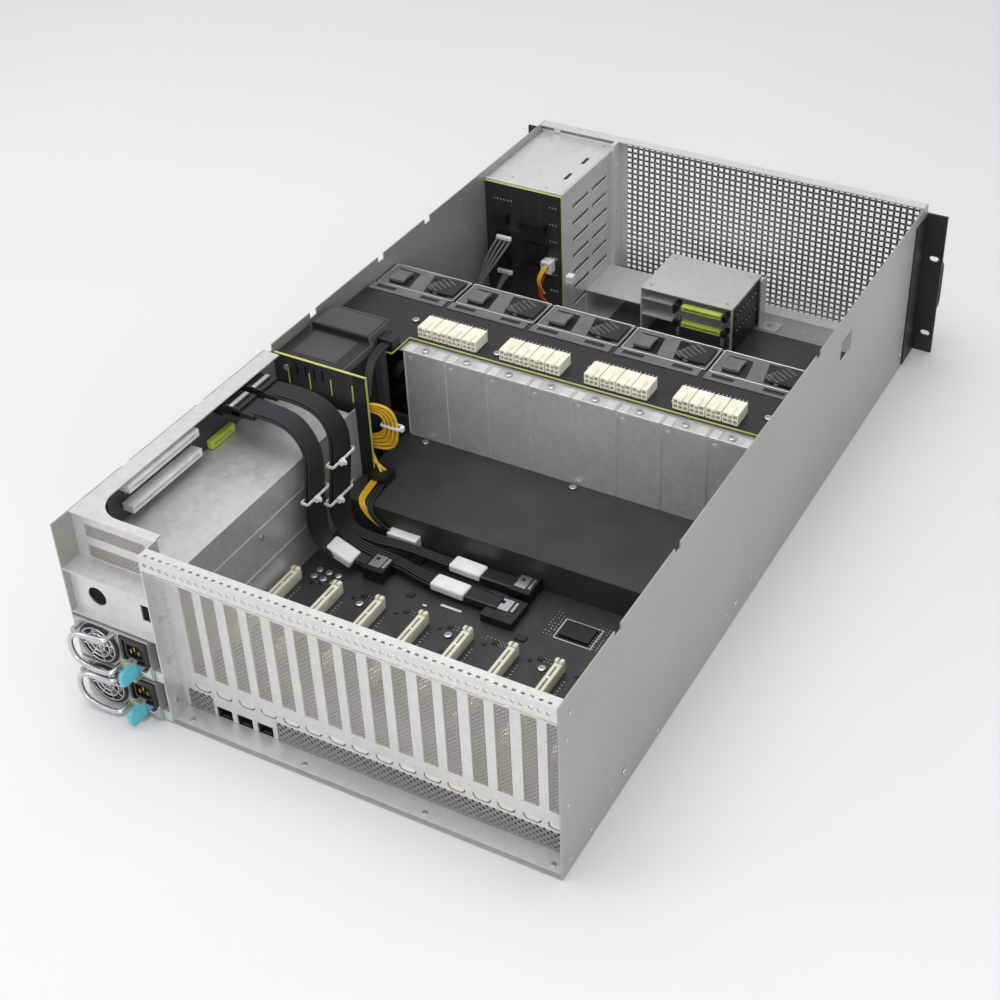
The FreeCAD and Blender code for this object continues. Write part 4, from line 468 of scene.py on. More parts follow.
def perforated(x, z, face, pitch, hole, thick, turn=0.0):
    """Perforated sheet across x and z with its outer face at a place along Y, its grid turned."""
    width, height = x[1] - x[0], z[1] - z[0]
    cell = pierced_cell(pitch[0], pitch[1], hole)
    if turn:
        across = up = int((width + height) / math.sqrt(2) / pitch[0]) + 2
    else:
        across, up = int(width / pitch[0]), int(height / pitch[1])
    for count, offset in ((across, (pitch[0] * MM, 0, 0)), (up, (0, pitch[1] * MM, 0))):
        stack = cell.modifiers.new("stack", "ARRAY")
        stack.count = count
        stack.use_relative_offset = False
        stack.use_constant_offset = True
        stack.constant_offset_displace = offset
        stack.use_merge_vertices = True
        stack.merge_threshold = 0.01 * MM
    finish_modifiers(cell)
    middle = Vector(((across - 1) * pitch[0] / 2, (up - 1) * pitch[1] / 2, 0)) * MM
    cell.data.transform(Matrix.Rotation(turn, 4, "Z") @ Matrix.Translation(-middle))
    if turn:
        edit()
        for normal in ((1, 0, 0), (-1, 0, 0), (0, 1, 0), (0, -1, 0)):
            reach = (width if normal[0] else height) / 2 * MM
            bpy.ops.mesh.select_all(action="SELECT")
            bpy.ops.mesh.bisect(plane_co=Vector(normal) * reach, plane_no=normal, clear_outer=True)
        leave_edit()
    wall = cell.modifiers.new("wall", "SOLIDIFY")
    wall.thickness = thick * MM
    wall.offset = -1
    finish_modifiers(cell)
    cell.rotation_euler = (-math.pi / 2, 0, 0)
    cell.location = ((x[0] + x[1]) / 2 * MM, face * MM, (z[0] + z[1]) / 2 * MM)
    return settle(cell)


def facing(axis, piece):
    """Turn a small part that was modelled upright so that it looks along an axis."""
    quarter = math.pi / 2
    turns = {"z": Matrix(), "y": Matrix.Rotation(-quarter, 4, "X"), "x": Matrix.Rotation(quarter, 4, "Y"),
             "-x": Matrix.Rotation(-quarter, 4, "Y")}
    piece.data.transform(turns[axis])
    return piece


def pan_screw(radius, axis="z"):
    """Pan-head screw with a cross recess, its seat at the origin."""
    head = disc((0, 0, radius * 0.3), radius, radius * 0.6, sides=16, ease=radius * 0.22)
    arm, reach = radius * 0.14, radius * 0.62
    depth = (radius * 0.35, radius)
    carve(head, [block((-reach, reach), (-arm, arm), depth)])
    carve(head, [block((-arm, arm), (-reach, reach), depth)])
    return facing(axis, shade(head))


def rivet(radius, axis="z"):
    """Flat round rivet with a dimple in its middle, its seat at the origin."""
    head = disc((0, 0, radius * 0.2), radius, radius * 0.4, sides=14, ease=radius * 0.16)
    carve(head, [disc((0, 0, radius * 0.5), radius * 0.3, radius * 0.5, sides=8)])
    return facing(axis, shade(head))


# Rear wall

SLOT_PITCH = 42.925
PAIR_PITCH = 20.91
COVER_MIDDLES = [116.15 - card * SLOT_PITCH - half * PAIR_PITCH for card in range(8) for half in range(2)]
WINDOW_HALF = 6.45
WINDOW_Z = (43, 134.5)
CAGE_SIDE = 134.8
WALL_SIDE = -218.8
REAR_FACE = 379
THROUGH_WALL = (375, 381)
MESH_HALF = 6.8
COVER_HALF = 9.2
VENTS = (((108, 132), (1.9, 22.6)), ((-216, 46), (1.9, 22.6)))
JACK_HIGHS = [105.5 - 19.9 * jack for jack in range(3)]
DIAGONAL = math.pi / 4


def toe(middle, half, foot, head, depth):
    """Round-cornered tongue at the lower end of a slot cover."""
    tongue = block(span(middle, half), depth, (foot, head))
    lowest = foot * MM + HAIR
    return ease_where(tongue, lambda a, b: max(a.z, b.z) < lowest and abs(a.x - b.x) < HAIR, 4.2, 5)


def rear_wall():
    """Rear wall sheet with its windows, toe cuts, jack mouths and two strips of round holes."""
    wall = block((WALL_SIDE, CAGE_SIDE), (377.8, REAR_FACE), (1.2, 148))
    cuts = [block(span(x, WINDOW_HALF), THROUGH_WALL, WINDOW_Z) for x in COVER_MIDDLES]
    cuts += [toe(x, 7.7, 24.4, 31, THROUGH_WALL) for x in COVER_MIDDLES]
    cuts += [block((high - 15.1, high), THROUGH_WALL, (1.9, 13.4)) for high in JACK_HIGHS]
    cuts += [block(x, THROUGH_WALL, z) for x, z in VENTS]
    carve(wall, cuts)
    shelf = block((WALL_SIDE, CAGE_SIDE), (378.4, 391), (146.8, 148), 0.3)
    vents = [perforated(x, z, REAR_FACE, (4.3, 4.3), 3.3, 0.6, DIAGONAL) for x, z in VENTS]
    place_piece([wall, shelf] + vents, "rear_wall", PANEL_STEEL, replaced=["rear_slot_panel"])
    # Painted light: a paler steel sheet over the floor ledge, which is the same steel as the case tray, to
    # give it the brightness of light and reflections.
    ledge = block((-217.8, 217.8), (379.4, 396.6), (1.1, 1.6), 0.15)
    place_piece([ledge], "painted_light_ledge_plate", PANEL_STEEL)


def slot_cover():
    """One slot cover: a frame round fine perforation, its round toe and the folded tab."""
    x = COVER_MIDDLES[0]
    inside, outside = span(x, MESH_HALF), span(x, COVER_HALF)
    frame_sheet = block(outside, (376.6, 377.8), (31.5, 149.2))
    carve(frame_sheet, [block(inside, (374, 380), (42, 136))])
    mesh = perforated(inside, (42, 136), 377.8, (2.9, 2.9), 1.65, 0.3, DIAGONAL)
    tongue = toe(x, 6.9, 25.3, 32, (377.0, 378.4))
    tab = block(outside, (377.8, 390), (148, 149.2), 0.25)
    hold = disc((x, 385.5, 149.6), 2.6, 0.9, sides=12, ease=0.3)
    return join([frame_sheet, mesh, tongue, tab, hold])


def slot_cover_rows():
    """Sixteen slot covers behind the wall's windows, in two pieces."""
    covers = at_places(slot_cover(), [(x - COVER_MIDDLES[0], 0, 0) for x in COVER_MIDDLES])
    place_piece(covers[:8], "slot_covers_near", COVER_STEEL, replaced=["slot_covers"])
    place_piece(covers[8:], "slot_covers_far", COVER_STEEL, replaced=["slot_covers"])


def retention_bar():
    """Angle bar over the slot covers: round holes in its face, short slots along its bend."""
    bar = join([block((WALL_SIDE, CAGE_SIDE), (398.8, 400), (160.5, 174.5)),
                block((WALL_SIDE, CAGE_SIDE), (389.8, 399), (173.3, 174.5))])
    holes = row(disc((130.5, 399, 167), 2.1, 6, "y", 10), 50, (-7, 0, 0))
    slots = row(block((128.9, 132.1), (396, 398.1), (170, 178)), 50, (-7, 0, 0))
    carve(bar, holes + slots)
    place_piece([bar], "retention_bar", PANEL_STEEL, replaced=["slot_retention_bar"])


def network_jacks():
    """Inside of the three network jacks: contact comb, mouth and latch groove."""
    combs, shields = [], []
    for high in JACK_HIGHS:
        combs += row(block((high - 11.6, high - 11.0), (366, 374), (9.8, 11.6), 0.1), 8, (1.02, 0, 0))
        combs.append(block((high - 12.4, high - 2.7), (364, 366.5), (4, 12.5), 0.3))
        shields += [block((high - 15.1, high), (366, 378.4), z, 0.1) for z in ((12.9, 13.4), (1.9, 2.4))]
        shields.append(block((high - 11.5, high - 3.6), (372, 377.6), (2.4, 4.6), 0.3))
    place_piece(combs, "network_jack_contacts", BRASS)
    place_piece(shields, "network_jack_mouths", BLACK_NYLON)


def front_grille():
    """Front panel with rows of round holes and its plain edge."""
    sheet = perforated((-214.5, 119.7), (2.9, 171.9), -395.8, (6.75, 6.25), 5.0, 0.8)
    rim = block((-218.8, 124), (-397, -395.8), (1.2, 173.3), 0.3)
    carve(rim, [block((-213.7, 118.4), (-400, -390), (3.6, 171.4))])
    place_piece([sheet, rim], "front_hole_panel", PANEL_STEEL, replaced=["front_grille"])


rear_wall()
slot_cover_rows()
retention_bar()
network_jacks()
front_grille()


# Power board

OUTLET_GROUPS = [118.5 - 85 * group for group in range(4)]
BOARD_TOP = 156
DECK_TOP = 60
BOARD_FACE = 28.5
SCREW_BRIGHT = pan_screw(3.6)


def outlet():
    """One power outlet of two rows of three ways with its latch, and the pins behind it."""
    body = block((-7.3, 7.3), (-5, 17), (0, 11), 0.35)
    half = 1.75
    carve(body, [block(span(side, half), (8, 30), span(level, half), 0.5)
                 for level in (3.1, 7.9) for side in (-4.5, 0, 4.5)])
    latch = block((-2.4, 2.4), (6, 18.2), (10.8, 12.2), 0.3)
    foot = block((-1.9, 1.9), (17, 18.6), (9.2, 11.6), 0.3)
    fingers = row(block((-5.9, -4.9), (-8.4, -4.8), (9.4, 10.3), 0.15), 4, (3.6, 0, 0))
    return shade(join([body, latch, foot])), join(fingers)


def outlet_rows():
    """Four groups of four outlets along the power board's rear edge, with their bent pins."""
    body, comb = outlet()
    places = [(high - 15.4 * way, 5, BOARD_TOP) for high in OUTLET_GROUPS for way in range(4)]
    place_piece(at_places(body, places), "power_outlets", CREAM_NYLON,
                replaced=["power_connectors"])
    place_piece(at_places(comb, places), "power_outlet_pins", ZINC)


def screws_at(places, level, name):
    """Pan-head screws with their seats at places on one level, in millimetres."""
    place_piece([twin(SCREW_BRIGHT, (x, y, level)) for x, y in places], name, ZINC)


def board_screws():
    """Screws of the power board, the deck, the card board and the blank plates."""
    screws_at([(142, -0.6), (142.5, 44), (46.6, 15.4), (-40, -1), (-128, 13), (-209, 0)], BOARD_TOP,
              "power_board_screws")
    screws_at([(108, 50), (-46.5, 49.4), (-190, 52)], DECK_TOP, "deck_screws")
    screws_at([(130, 228), (60, 238), (-27.5, 238), (-116, 238), (-196, 238), (-100, 146)], BOARD_FACE,
              "card_board_screws")
    screws_at([(108.7 - SLOT_PITCH * plate, 37) for plate in range(8)], 153.2, "blank_plate_screws")


def board_edges():
    """Pale cut edges of the power board and the card board."""
    above, below = (154.2, 155.8), (26.8, 28.2)
    strips = blocks([((-213, 133), (25, 25.5), above), ((132.6, 133.1), (25, 55), above),
                     ((133, 151), (55, 55.5), above), ((151, 151.5), (-44, 55), above),
                     ((133.5, 134.1), (140, 372), below), ((-216, 133.5), (139.4, 140), below)], 0.2)
    place_piece(strips, "board_cut_edges", BOARD_EDGE)


def blank_plate_folds():
    """Bright front bend, side fold, two tabs and a rivet on each of the eight blank plates."""
    folds = []
    for plate in range(8):
        high = 128.2 - SLOT_PITCH * plate
        folds.append(block((high - 41.4, high), (42.6, 43.4), (151.2, 153.5), 0.3, 2))
        folds += blocks([((high - 40.6, high - 30.5), (31.4, 43), (153.2, 153.9)),
                         ((high - 9.4, high - 1.2), (31.4, 43), (153.2, 153.9)),
                         ((high - 0.5, high + 0.3), (42.4, 44.2), (62, 151))], 0.3)
        folds.append(disc((high - 6, 43.3, 146), 2.1, 0.6, "y", 10, 0.2))
    place_piece(folds, "blank_plate_folds", PANEL_STEEL)


outlet_rows()
board_screws()
board_edges()
blank_plate_folds()


# Fan modules

MODULE_PITCH = 87.2
MODULE_TOP = 152.5


def wire_frame(x, y, z, bar):
    """Square frame of thin round-edged bars, lying flat."""
    level = (z, z + bar)
    return blocks([(x, (y[0], y[0] + bar), level), (x, (y[1] - bar, y[1]), level),
                   ((x[0], x[0] + bar), y, level), ((x[1] - bar, x[1]), y, level)], bar * 0.3, 2)


def ribbed_pad():
    """Sloping latch pad with five grip ribs across it."""
    pad = block((-9, 9), (-13, 13), (0, 2.2), 0.5)
    ribs = row(block((-8, 8), (-11, -9), (2.0, 3.6), 0.5, 2), 5, (0, 5, 0))
    made = join([pad] + ribs)
    made.data.transform(Matrix.Rotation(math.radians(-32), 4, "Z"))
    return made


def curved_tab():
    """Grey finger tab, hollow along its middle and raised at both ends."""
    half_width, half_length = 8.5, 9
    tab = block((-half_width, half_width), (-half_length, half_length), (0.4, 3.0))
    only(tab)
    edit("SELECT")
    bpy.ops.mesh.subdivide(number_cuts=6)
    leave_edit()
    for corner in tab.data.vertices:
        corner.co.z += 0.7 * MM * (corner.co.x / (half_width * MM)) ** 2
        waist = 0.88 * MM * (1 - (corner.co.y / (half_length * MM)) ** 2)
        corner.co.x -= math.copysign(waist, corner.co.x)
    return shade(tab, 50)


def fan_top(module):
    """Top of one fan module: grey lid with two dark wells, finger tab, ribbed latch pad and wire guard."""
    middle = (module - 3) * MODULE_PITCH
    body = "fan_module_%d" % module
    guard = wire_frame(span(middle, 42), (-87.3, -48.8), MODULE_TOP - 0.2, 1.3)
    hook = (MODULE_TOP, MODULE_TOP + 1.2)
    guard += blocks([((middle - 35.7, middle - 34.5), (-72, -55), hook),
                     ((middle - 35.7, middle - 32.5), (-73, -71.8), hook)], 0.3)
    place_piece(guard, "fan_guard_wire_%d" % module, ZINC, body=body)
    lid = block(span(middle, 41), (-87, -49.4), span(MODULE_TOP, 0.3), 0.2)
    for x, y in (((middle + 12, middle + 36), (-81, -53)), ((middle - 33.5, middle - 8), (-84, -53))):
        well = block(x, y, (MODULE_TOP, MODULE_TOP + 4))
        for corner in well.data.vertices:
            if corner.co.x < middle * MM and corner.co.y < -70 * MM:
                corner.co.x += 6 * MM
            if corner.co.x > middle * MM and corner.co.y > -60 * MM:
                corner.co.x -= 4 * MM
        carve(lid, [well])
    place_piece([lid], "fan_lid_%d" % module, FAN_GREY, body=body)
    tab = moved(curved_tab(), (middle + 25, -66, MODULE_TOP - 0.1))
    place_piece([tab], "fan_tab_%d" % module, FAN_GREY, body=body)
    pad = moved(ribbed_pad(), (middle - 20, -68, MODULE_TOP - 0.1))
    place_piece([pad], "fan_latch_%d" % module, LATCH_NYLON, body=body)


def fan_strips():
    """Grey slotted strips on the power board's front edge, behind the fan modules."""
    strips = []
    for module in range(1, 6):
        middle = (module - 3) * MODULE_PITCH
        strip = block((max(middle - 41, -212.5), middle + 41), (-43.8, -32), (BOARD_TOP, BOARD_TOP + 0.8),
                      0.2)
        carve(strip, [block(x, (-41.4, -36), (155, 158))
                      for x in ((middle + 14, middle + 35), (middle - 34, middle - 14))])
        strips.append(strip)
    place_piece(strips, "fan_strips", FAN_GREY)


for module in range(1, 6):
    fan_top(module)
fan_strips()


# Card board

CARD_SLOTS = [126.75 - SLOT_PITCH * card for card in range(8)]


def for_each_card(piece):
    """A piece at the first card slot, and its copies at the seven others."""
    return [piece] + [twin(piece, (-SLOT_PITCH * card, 0, 0)) for card in range(1, 8)]


def slot_mouth(middle):
    """Long slot connector with two dark grooves and a rounded clip at its end."""
    x, groove = span(middle, 3.75), span(middle, 0.9)
    body = block(x, (236, 324), (BOARD_FACE, 39.8), 0.6, 2)
    carve(body, [block(groove, y, (33, 45)) for y in ((240, 253), (255, 321))])
    clip = block((x[0] - 0.6, x[1] + 0.6), (231.4, 237.2), (BOARD_FACE, 42.4), 2.0, 3)
    carve(clip, [block(groove, (229, 240), (38, 46))])
    return join([shade(body), shade(clip)])


def card_slot_rows():
    """Eight slots on the card board with their pads and black strips of painted shade in their grooves, and
    the two slots of the riser.
    """
    rows = for_each_card(slot_mouth(CARD_SLOTS[0]))
    riser = []
    for z in (165, 144.7):
        body = block((202.7, 214), (241, 330), span(z, 3.75), 0.6, 2)
        carve(body, [block((200, 208), (245, 326), span(z, 0.9))])
        riser.append(shade(body))
    place_piece(rows, "card_slot_rows", CREAM_NYLON, replaced=["card_slots"])
    place_piece(riser, "riser_slots", WHITE_NYLON, replaced=["card_slots"])
    pad_x = (CARD_SLOTS[0] - 9.5, CARD_SLOTS[0] - 7.7)
    pads = join(row(block(pad_x, (243, 244.1), (BOARD_FACE, BOARD_FACE + 0.5), 0.1), 20, (0, 3.9, 0)))
    place_piece(for_each_card(pads), "slot_pads", SOLDER)
    # Painted shade: black strips at the bottom of the cream slot grooves, where shade falls in the narrow
    # recess.
    groove_shade_strips = [block(span(x, 0.85), (240, 321), (33.1, 33.6), 0.1) for x in CARD_SLOTS]
    place_piece(groove_shade_strips, "painted_slot_groove_shade", BLACK_NYLON)


def chip(x, y, height):
    """A flat epoxy package with bevelled rim on the card board."""
    return block(x, y, (BOARD_FACE, BOARD_FACE + height), 0.25)


LARGE_PART = (1.6, 0.9, 0.8)
MEDIUM_PART = (1.5, 0.9, 0.8)
SMALL_PART = (1.4, 0.8, 0.7)


def small_parts(corner, counts, step, size):
    """A patch of small surface parts in rows, with a gap here and there."""
    first = block((0, size[0]), (0, size[1]), (0, size[2]), 0.12)
    places = [(corner[0] + across * step[0], corner[1] + along * step[1], BOARD_FACE)
              for across in range(counts[0]) for along in range(counts[1]) if (across * 5 + along * 3) % 7]
    return at_places(first, places)


def board_parts():
    """Chips, small parts, round capacitors and blank printed marks on the card board."""
    chips = [chip(*place) for place in (
        ((-137, -109), (178, 197), 1.6), ((-180, -160), (205, 222), 1.4), ((40, 47), (160, 172), 1.5),
        ((-60, -50), (160, 168), 1.5), ((-88, -78), (210, 217), 1.5), ((24, 31), (205, 211), 1.2),
        ((-160, -150), (250, 262), 1.4), ((-36, -30), (256, 262), 1.2))]
    for slot in CARD_SLOTS[:7]:
        chips.append(chip((slot - 25, slot - 19), (226, 230), 1.1))
        chips.append(chip((slot - 16, slot - 13), (232, 235), 0.9))
    place_piece(chips, "board_chips", CHIP_BLACK)
    patches = [((-150, 172), (4, 9), (3.6, 3.4), LARGE_PART),
               ((-104, 170), (3, 9), (3.4, 3.6), MEDIUM_PART),
               ((-46, 172), (5, 4), (3.2, 4.2), SMALL_PART),
               ((22, 176), (6, 3), (3.2, 3.8), SMALL_PART),
               ((60, 157), (8, 2), (3.4, 4.4), SMALL_PART),
               ((-80, 224), (8, 2), (3.6, 3.4), SMALL_PART),
               ((-196, 168), (4, 8), (4.2, 4.4), LARGE_PART)]
    patches += [((slot + 10, 226), (5, 2), (3.2, 3.2), SMALL_PART) for slot in CARD_SLOTS[1:7]]
    parts = [part for patch in patches for part in small_parts(*patch)]
    place_piece(parts, "board_small_parts", SOLDER)
    cans = [shade(disc((113 - across * 9.5, 219 + along * 9, BOARD_FACE + 2.4), 3.3, 4.8, "z", 14, 0.5))
            for across in range(3) for along in range(2)]
    cans += [shade(disc((38 - across * 8, 157, BOARD_FACE + 1.8), 2.6, 3.6, sides=12, ease=0.4))
             for across in range(4)]
    place_piece(cans, "board_capacitors", FIN_ALUMINIUM)
    ink = (BOARD_FACE, BOARD_FACE + 0.12)
    prints = blocks([((-22, -2), (206, 208.5), ink), ((8, 12), (213, 215), ink),
                     ((-140, -106), (199.5, 200.3), ink), ((-140, -106), (174.6, 175.4), ink),
                     ((-140.6, -139.8), (174.6, 200.3), ink),
                     ((-106.4, -105.6), (174.6, 200.3), ink)], 0.04)
    place_piece(prints, "board_print_marks", SILK_WHITE)


def plug_latch(x, y, top):
    """Bright latch plate and lever on top of a cable plug."""
    plate = block((x[0] + 6, x[1] - 3), y, (top - 0.2, top + 1), 0.3)
    carve(plate, [block((x[1] - 9, x[1] - 5.5), (y[0] + 3, y[0] + 7), (top - 3, top + 4))])
    lever = block((x[0] + 1.5, x[0] + 4.5), (y[0] + 1, y[1] - 1), (top - 0.2, top + 1.2), 0.4)
    return [plate, lever]


def board_latches():
    """Bright latches of the three cable plugs, and the white power plug."""
    bright = plug_latch((-70, -50), (156, 171), 41.5) + plug_latch((-68, -46), (184, 198), 36.5)
    bright += plug_latch((56, 76), (188, 203), 41.5)
    place_piece(bright, "card_board_latches", ZINC)
    white = block((52, 82), (149.5, 160), (BOARD_FACE, BOARD_FACE + 14), 0.8, 2)
    carve(white, [block((54.6 + 5.2 * way, 58 + 5.2 * way), (146, 153), (BOARD_FACE + 8, BOARD_FACE + 12))
                  for way in range(5)])
    place_piece([white], "board_power_plug", WHITE_NYLON)


card_slot_rows()
board_parts()
board_latches()
bpy.data.objects.remove(SCREW_BRIGHT, do_unlink=True)


# Cables inside the case


def cable(points, radius, rough=2, run=5):
    """A round cable along a smooth spline between its two ends, with its UV map in metres."""
    clear()
    data = bpy.data.curves.new("cable", "CURVE")
    data.dimensions = "3D"
    line = data.splines.new("NURBS")
    line.points.add(len(points) - 1)
    for spot, place in zip(line.points, points):
        spot.co = (place[0] * MM, place[1] * MM, place[2] * MM, 1)
    line.order_u = 3
    line.use_endpoint_u = True
    data.resolution_u = run
    data.bevel_depth = radius * MM
    data.bevel_resolution = rough
    data.use_fill_caps = True
    made = bpy.data.objects.new("cable", data)
    bpy.context.collection.objects.link(made)
    only(made)
    length = line.calc_length()
    bpy.ops.object.convert(target="MESH")
    made = bpy.context.active_object
    for corner in made.data.uv_layers["UVMap"].data:
        corner.uv = (corner.uv[0] * length, corner.uv[1] * 2 * math.pi * radius * MM)
    return shade(made, 60)


def flat_bundle(first, width, count, lane):
    """Two layers of thin cables: a lane gives the route of one from its place across and its layer."""
    radius = width / count / 2
    made = []
    for layer in range(2):
        for place in range(count - layer):
            y = first + radius * (2 * place + 1 + layer)
            made.append(cable(lane(y, (y - first) / width, layer), radius * 1.12))
    return made


def front_lane(y, share, layer):
    """Route of one cable of the front bundle to one of its two plugs."""
    near = share < 0.5
    end = 157 + share * 24 if near else 185 + (share - 0.5) * 24
    lift = 1.5 if near else 0
    fan, out = (share - 0.5) * 9, 2.4 * layer
    return [(200, y, 165.6), (180, y, 167 + out * 0.8), (152, y + 1, 168.3 + out), (131, y + 1, 163 + out),
            (119.5 - out, y + fan * 0.5, 146), (117.5 - out, y + 3 + fan, 120),
            (117.5 - out, y + 9 + fan, 92), (116.5 - out, y + 15 + fan, 68 + share * 4),
            (108, y + 16, 47 + share * 3 + out),
            (88, y + 12 + share * 8, 39.5 + lift + out), (55, (y + end) / 2 + 5, 37 + lift + out),
            (15, end + 2, 35.4 + out), (-20, end, 34.6 + out), (-48, end, 33.4 + out)]


def rear_lane(y, share, layer):
    """Route of one cable of the rear bundle to its plug beside the slots."""
    fan, out = (share - 0.5) * 6, 2.4 * layer
    return [(200, y - 2, 165.6), (180, y - 1, 167 + out * 0.8), (153, y, 168.3 + out), (134, y, 162 + out),
            (123.5 - out, y, 142), (122.5 - out, y + 4 + fan, 118), (122 - out, y + 8 + fan, 94),
            (121.5 - out, y + 9 + fan, 74), (119, y + 8, 57 + out), (110, 197 + share * 15, 46 + out),
            (96, 193.5 + share * 12, 41 + out), (84, 191 + share * 11, 37.5 + out),
            (74, 191 + share * 11, 35.6 + out)]


def cable_ties():
    """White ties round the falling bundles, with their heads and cut ends."""
    bands = []
    for z, low, high, x in ((118, 152.4, 184, 116.4), (84, 160.6, 193.6, 116), (100, 187.4, 217.8, 121)):
        level, sides, across = (z, z + 3), span(x, 3.6), (low, high)
        bands += blocks([(sides, (low - 1.2, low), level), (sides, (high, high + 1.2), level),
                         ((x - 4.2, x - 3), across, level), ((x + 2.6, x + 3.8), across, level)], 0.4)
        bands.append(block((x - 7, x - 3.6), (high - 14, high - 8), (z - 1.4, z + 4.4), 0.8, 2))
        bands.append(block((x - 9.6, x - 6.6), (high - 12.2, high - 9.8), (z - 0.6, z + 3.4), 0.4))
    place_piece(bands, "cable_ties", WHITE_NYLON)


def cable_sleeves():
    """Blank white labels and flat black sleeves that lead into the plugs."""
    labels = []
    for x, y in (((-20, 12), (156, 171.6)), ((-20, 14), (183.8, 199.6))):
        middle = Vector((sum(x) / 2, sum(y) / 2, 0)) * MM
        label = block(x, y, (32.4, 40.4), 2.2, 3)
        label.data.transform(Matrix.Translation(middle) @ Matrix.Rotation(math.radians(-2), 4, "Z")
                             @ Matrix.Translation(-middle))
        labels.append(label)
    rear = block((-14, 13), (-8.8, 8.8), (-4, 4.4), 2, 3)
    rear.data.transform(Matrix.Rotation(math.radians(-22), 4, "Y"))
    labels.append(moved(rear, (101, 200.6, 43.8)))
    sleeves = [block((-52, -17), y, (31, 38.6), 1.6, 2) for y in ((155.4, 171.4), (183.6, 199.2))]
    sleeves += [block((172, 196), y, (163, 169.2), 1.2, 2) for y in ((153, 174), (182, 207))]
    place_piece(labels, "cable_labels", LABEL_PAPER)
    place_piece(sleeves, "cable_sleeves", BLACK_NYLON)


def riser_plugs():
    """Two low plugs that stand in the riser, with their bright latch bars."""
    bars, shells = [], []
    for low, high in ((152, 175), (182, 207)):
        shell = block((186, 206), (low, high), (162, 171.5), 0.8, 2)
        carve(shell, [block((190 + 4.6 * cut, 192 + 4.6 * cut), (low + 3, high - 3), (170.5, 174))
                      for cut in range(3)])
        shells.append(shell)
        bars.append(block((193.5, 197.5), (low + 1, high - 1), (171, 172.4), 0.4))
    place_piece(shells, "riser_plugs", BLACK_NYLON)
    place_piece(bars, "riser_plug_latches", ZINC)


def signal_cables():
    """Both flat braided bundles from the riser, over the supply cage and down to the card board."""
    place_piece(flat_bundle(153, 21, 9, front_lane), "signal_cables_front", BRAID,
                replaced=["ribbon_cable_front"])
    place_piece(flat_bundle(185, 21, 9, rear_lane), "signal_cables_rear", TEAL_BRAID,
                replaced=["ribbon_cable_rear"])
    cable_ties()
    cable_sleeves()
    riser_plugs()


def power_loops():
    """Yellow power wires that bulge out beside the supply board, and their black sleeve from the tongue."""
    wires = []
    for wire in range(8):
        side = 104 + 2.4 * (wire % 2)
        wires.append(cable([(137, side, 122 + wire), (126 - 0.5 * wire, side, 126 + 1.4 * wire),
                            (116 - 1.8 * wire, side - 2, 122 + 1.5 * wire),
                            (114 - 2.1 * wire, side - 3, 113), (116 - 1.8 * wire, side - 2, 104 - 2 * wire),
                            (126, side, 98 - 1.6 * wire), (137, side + 1, 97 - wire)], 1.35))
    for wire in range(4):
        wires.append(cable([(137, 106, 90 - 3 * wire), (127, 108 + wire, 84 - 2 * wire),
                            (120 - 1.4 * wire, 112 + wire, 76),
                            (117 - 2 * wire, 112 + 2 * (wire % 3), 69)], 1.35))
    place_piece(wires, "power_loops", YELLOW_WIRE, replaced=["power_leads"])
    sleeve = [cable([(138 + 3 * run, 51, 161), (138 + 3 * run, 70, 161.5), (132 + 2 * run, 92, 157),
                     (127 + 2 * run, 104 + run, 139)], 2.0) for run in range(3)]
    place_piece(sleeve, "power_lead_sleeve", BRAID, replaced=["power_leads"])
    level = (112, 115)
    tie = blocks([((97.4, 116), (98.4, 99.4), level), ((97.4, 116), (104.9, 105.9), level),
                  ((96.9, 97.9), (98.4, 105.9), level), ((115.6, 116.6), (98.4, 105.9), level)], 0.3)
    tie.append(block((94.3, 97.4), (100, 104.6), (111, 116), 0.6))
    place_piece(tie, "power_loop_tie", WHITE_NYLON)


def deck_wires():
    """Thin wires over the deck's rear edge to the white plug on the card board."""
    yellow = [cable([(118 - 2.4 * run, 124, 64), (118 - 2.4 * run, 140, 61.6), (114 - 2 * run, 153, 61.4),
                     (104 - 2 * run, 158 - run, 54), (92 - 2 * run, 156, 43), (84 - 3 * run, 154, 40)], 1.1)
              for run in range(3)]
    place_piece(yellow, "deck_wires", YELLOW_WIRE)
    black = [cable([(109 - 2 * run, 124, 64), (108 - 2 * run, 142, 61.6), (105 - 2 * run, 154, 60),
                    (96 - 2 * run, 158, 50), (84 - 3 * run, 156, 40)], 1.0) for run in range(3)]
    place_piece(black, "deck_wires_black", BLACK_NYLON)


signal_cables()
power_loops()
deck_wires()


# Power supplies

SUPPLY_MIDDLES = {"lower": 21.5, "upper": 64.5}
SUPPLY_FAN_X = 194
SUPPLY_REAR = 402
SUPPLY_WIDE = (143.8, 216.4)


def bail(middle):
    """Bright loop handle round the fan of a supply, rounded at its far end."""
    half = [(176.5, 402, 16), (176.5, 410, 17), (180, 414, 17.6), (200, 414.4, 17.6), (211, 414.4, 12)]
    points = [(x, y, middle - z) for x, y, z in half] + [(214, 414.4, middle)]
    points += [(x, y, middle + z) for x, y, z in reversed(half)]
    return cable(points, 2.3, 4, 8)


def ring(centre, radius, thick):
    """A round wire ring facing the rear."""
    clear()
    bpy.ops.mesh.primitive_torus_add(major_radius=radius * MM, minor_radius=thick * MM, major_segments=36,
                                     minor_segments=8, location=[place * MM for place in centre],
                                     rotation=(math.pi / 2, 0, 0))
    return settle(bpy.context.active_object)


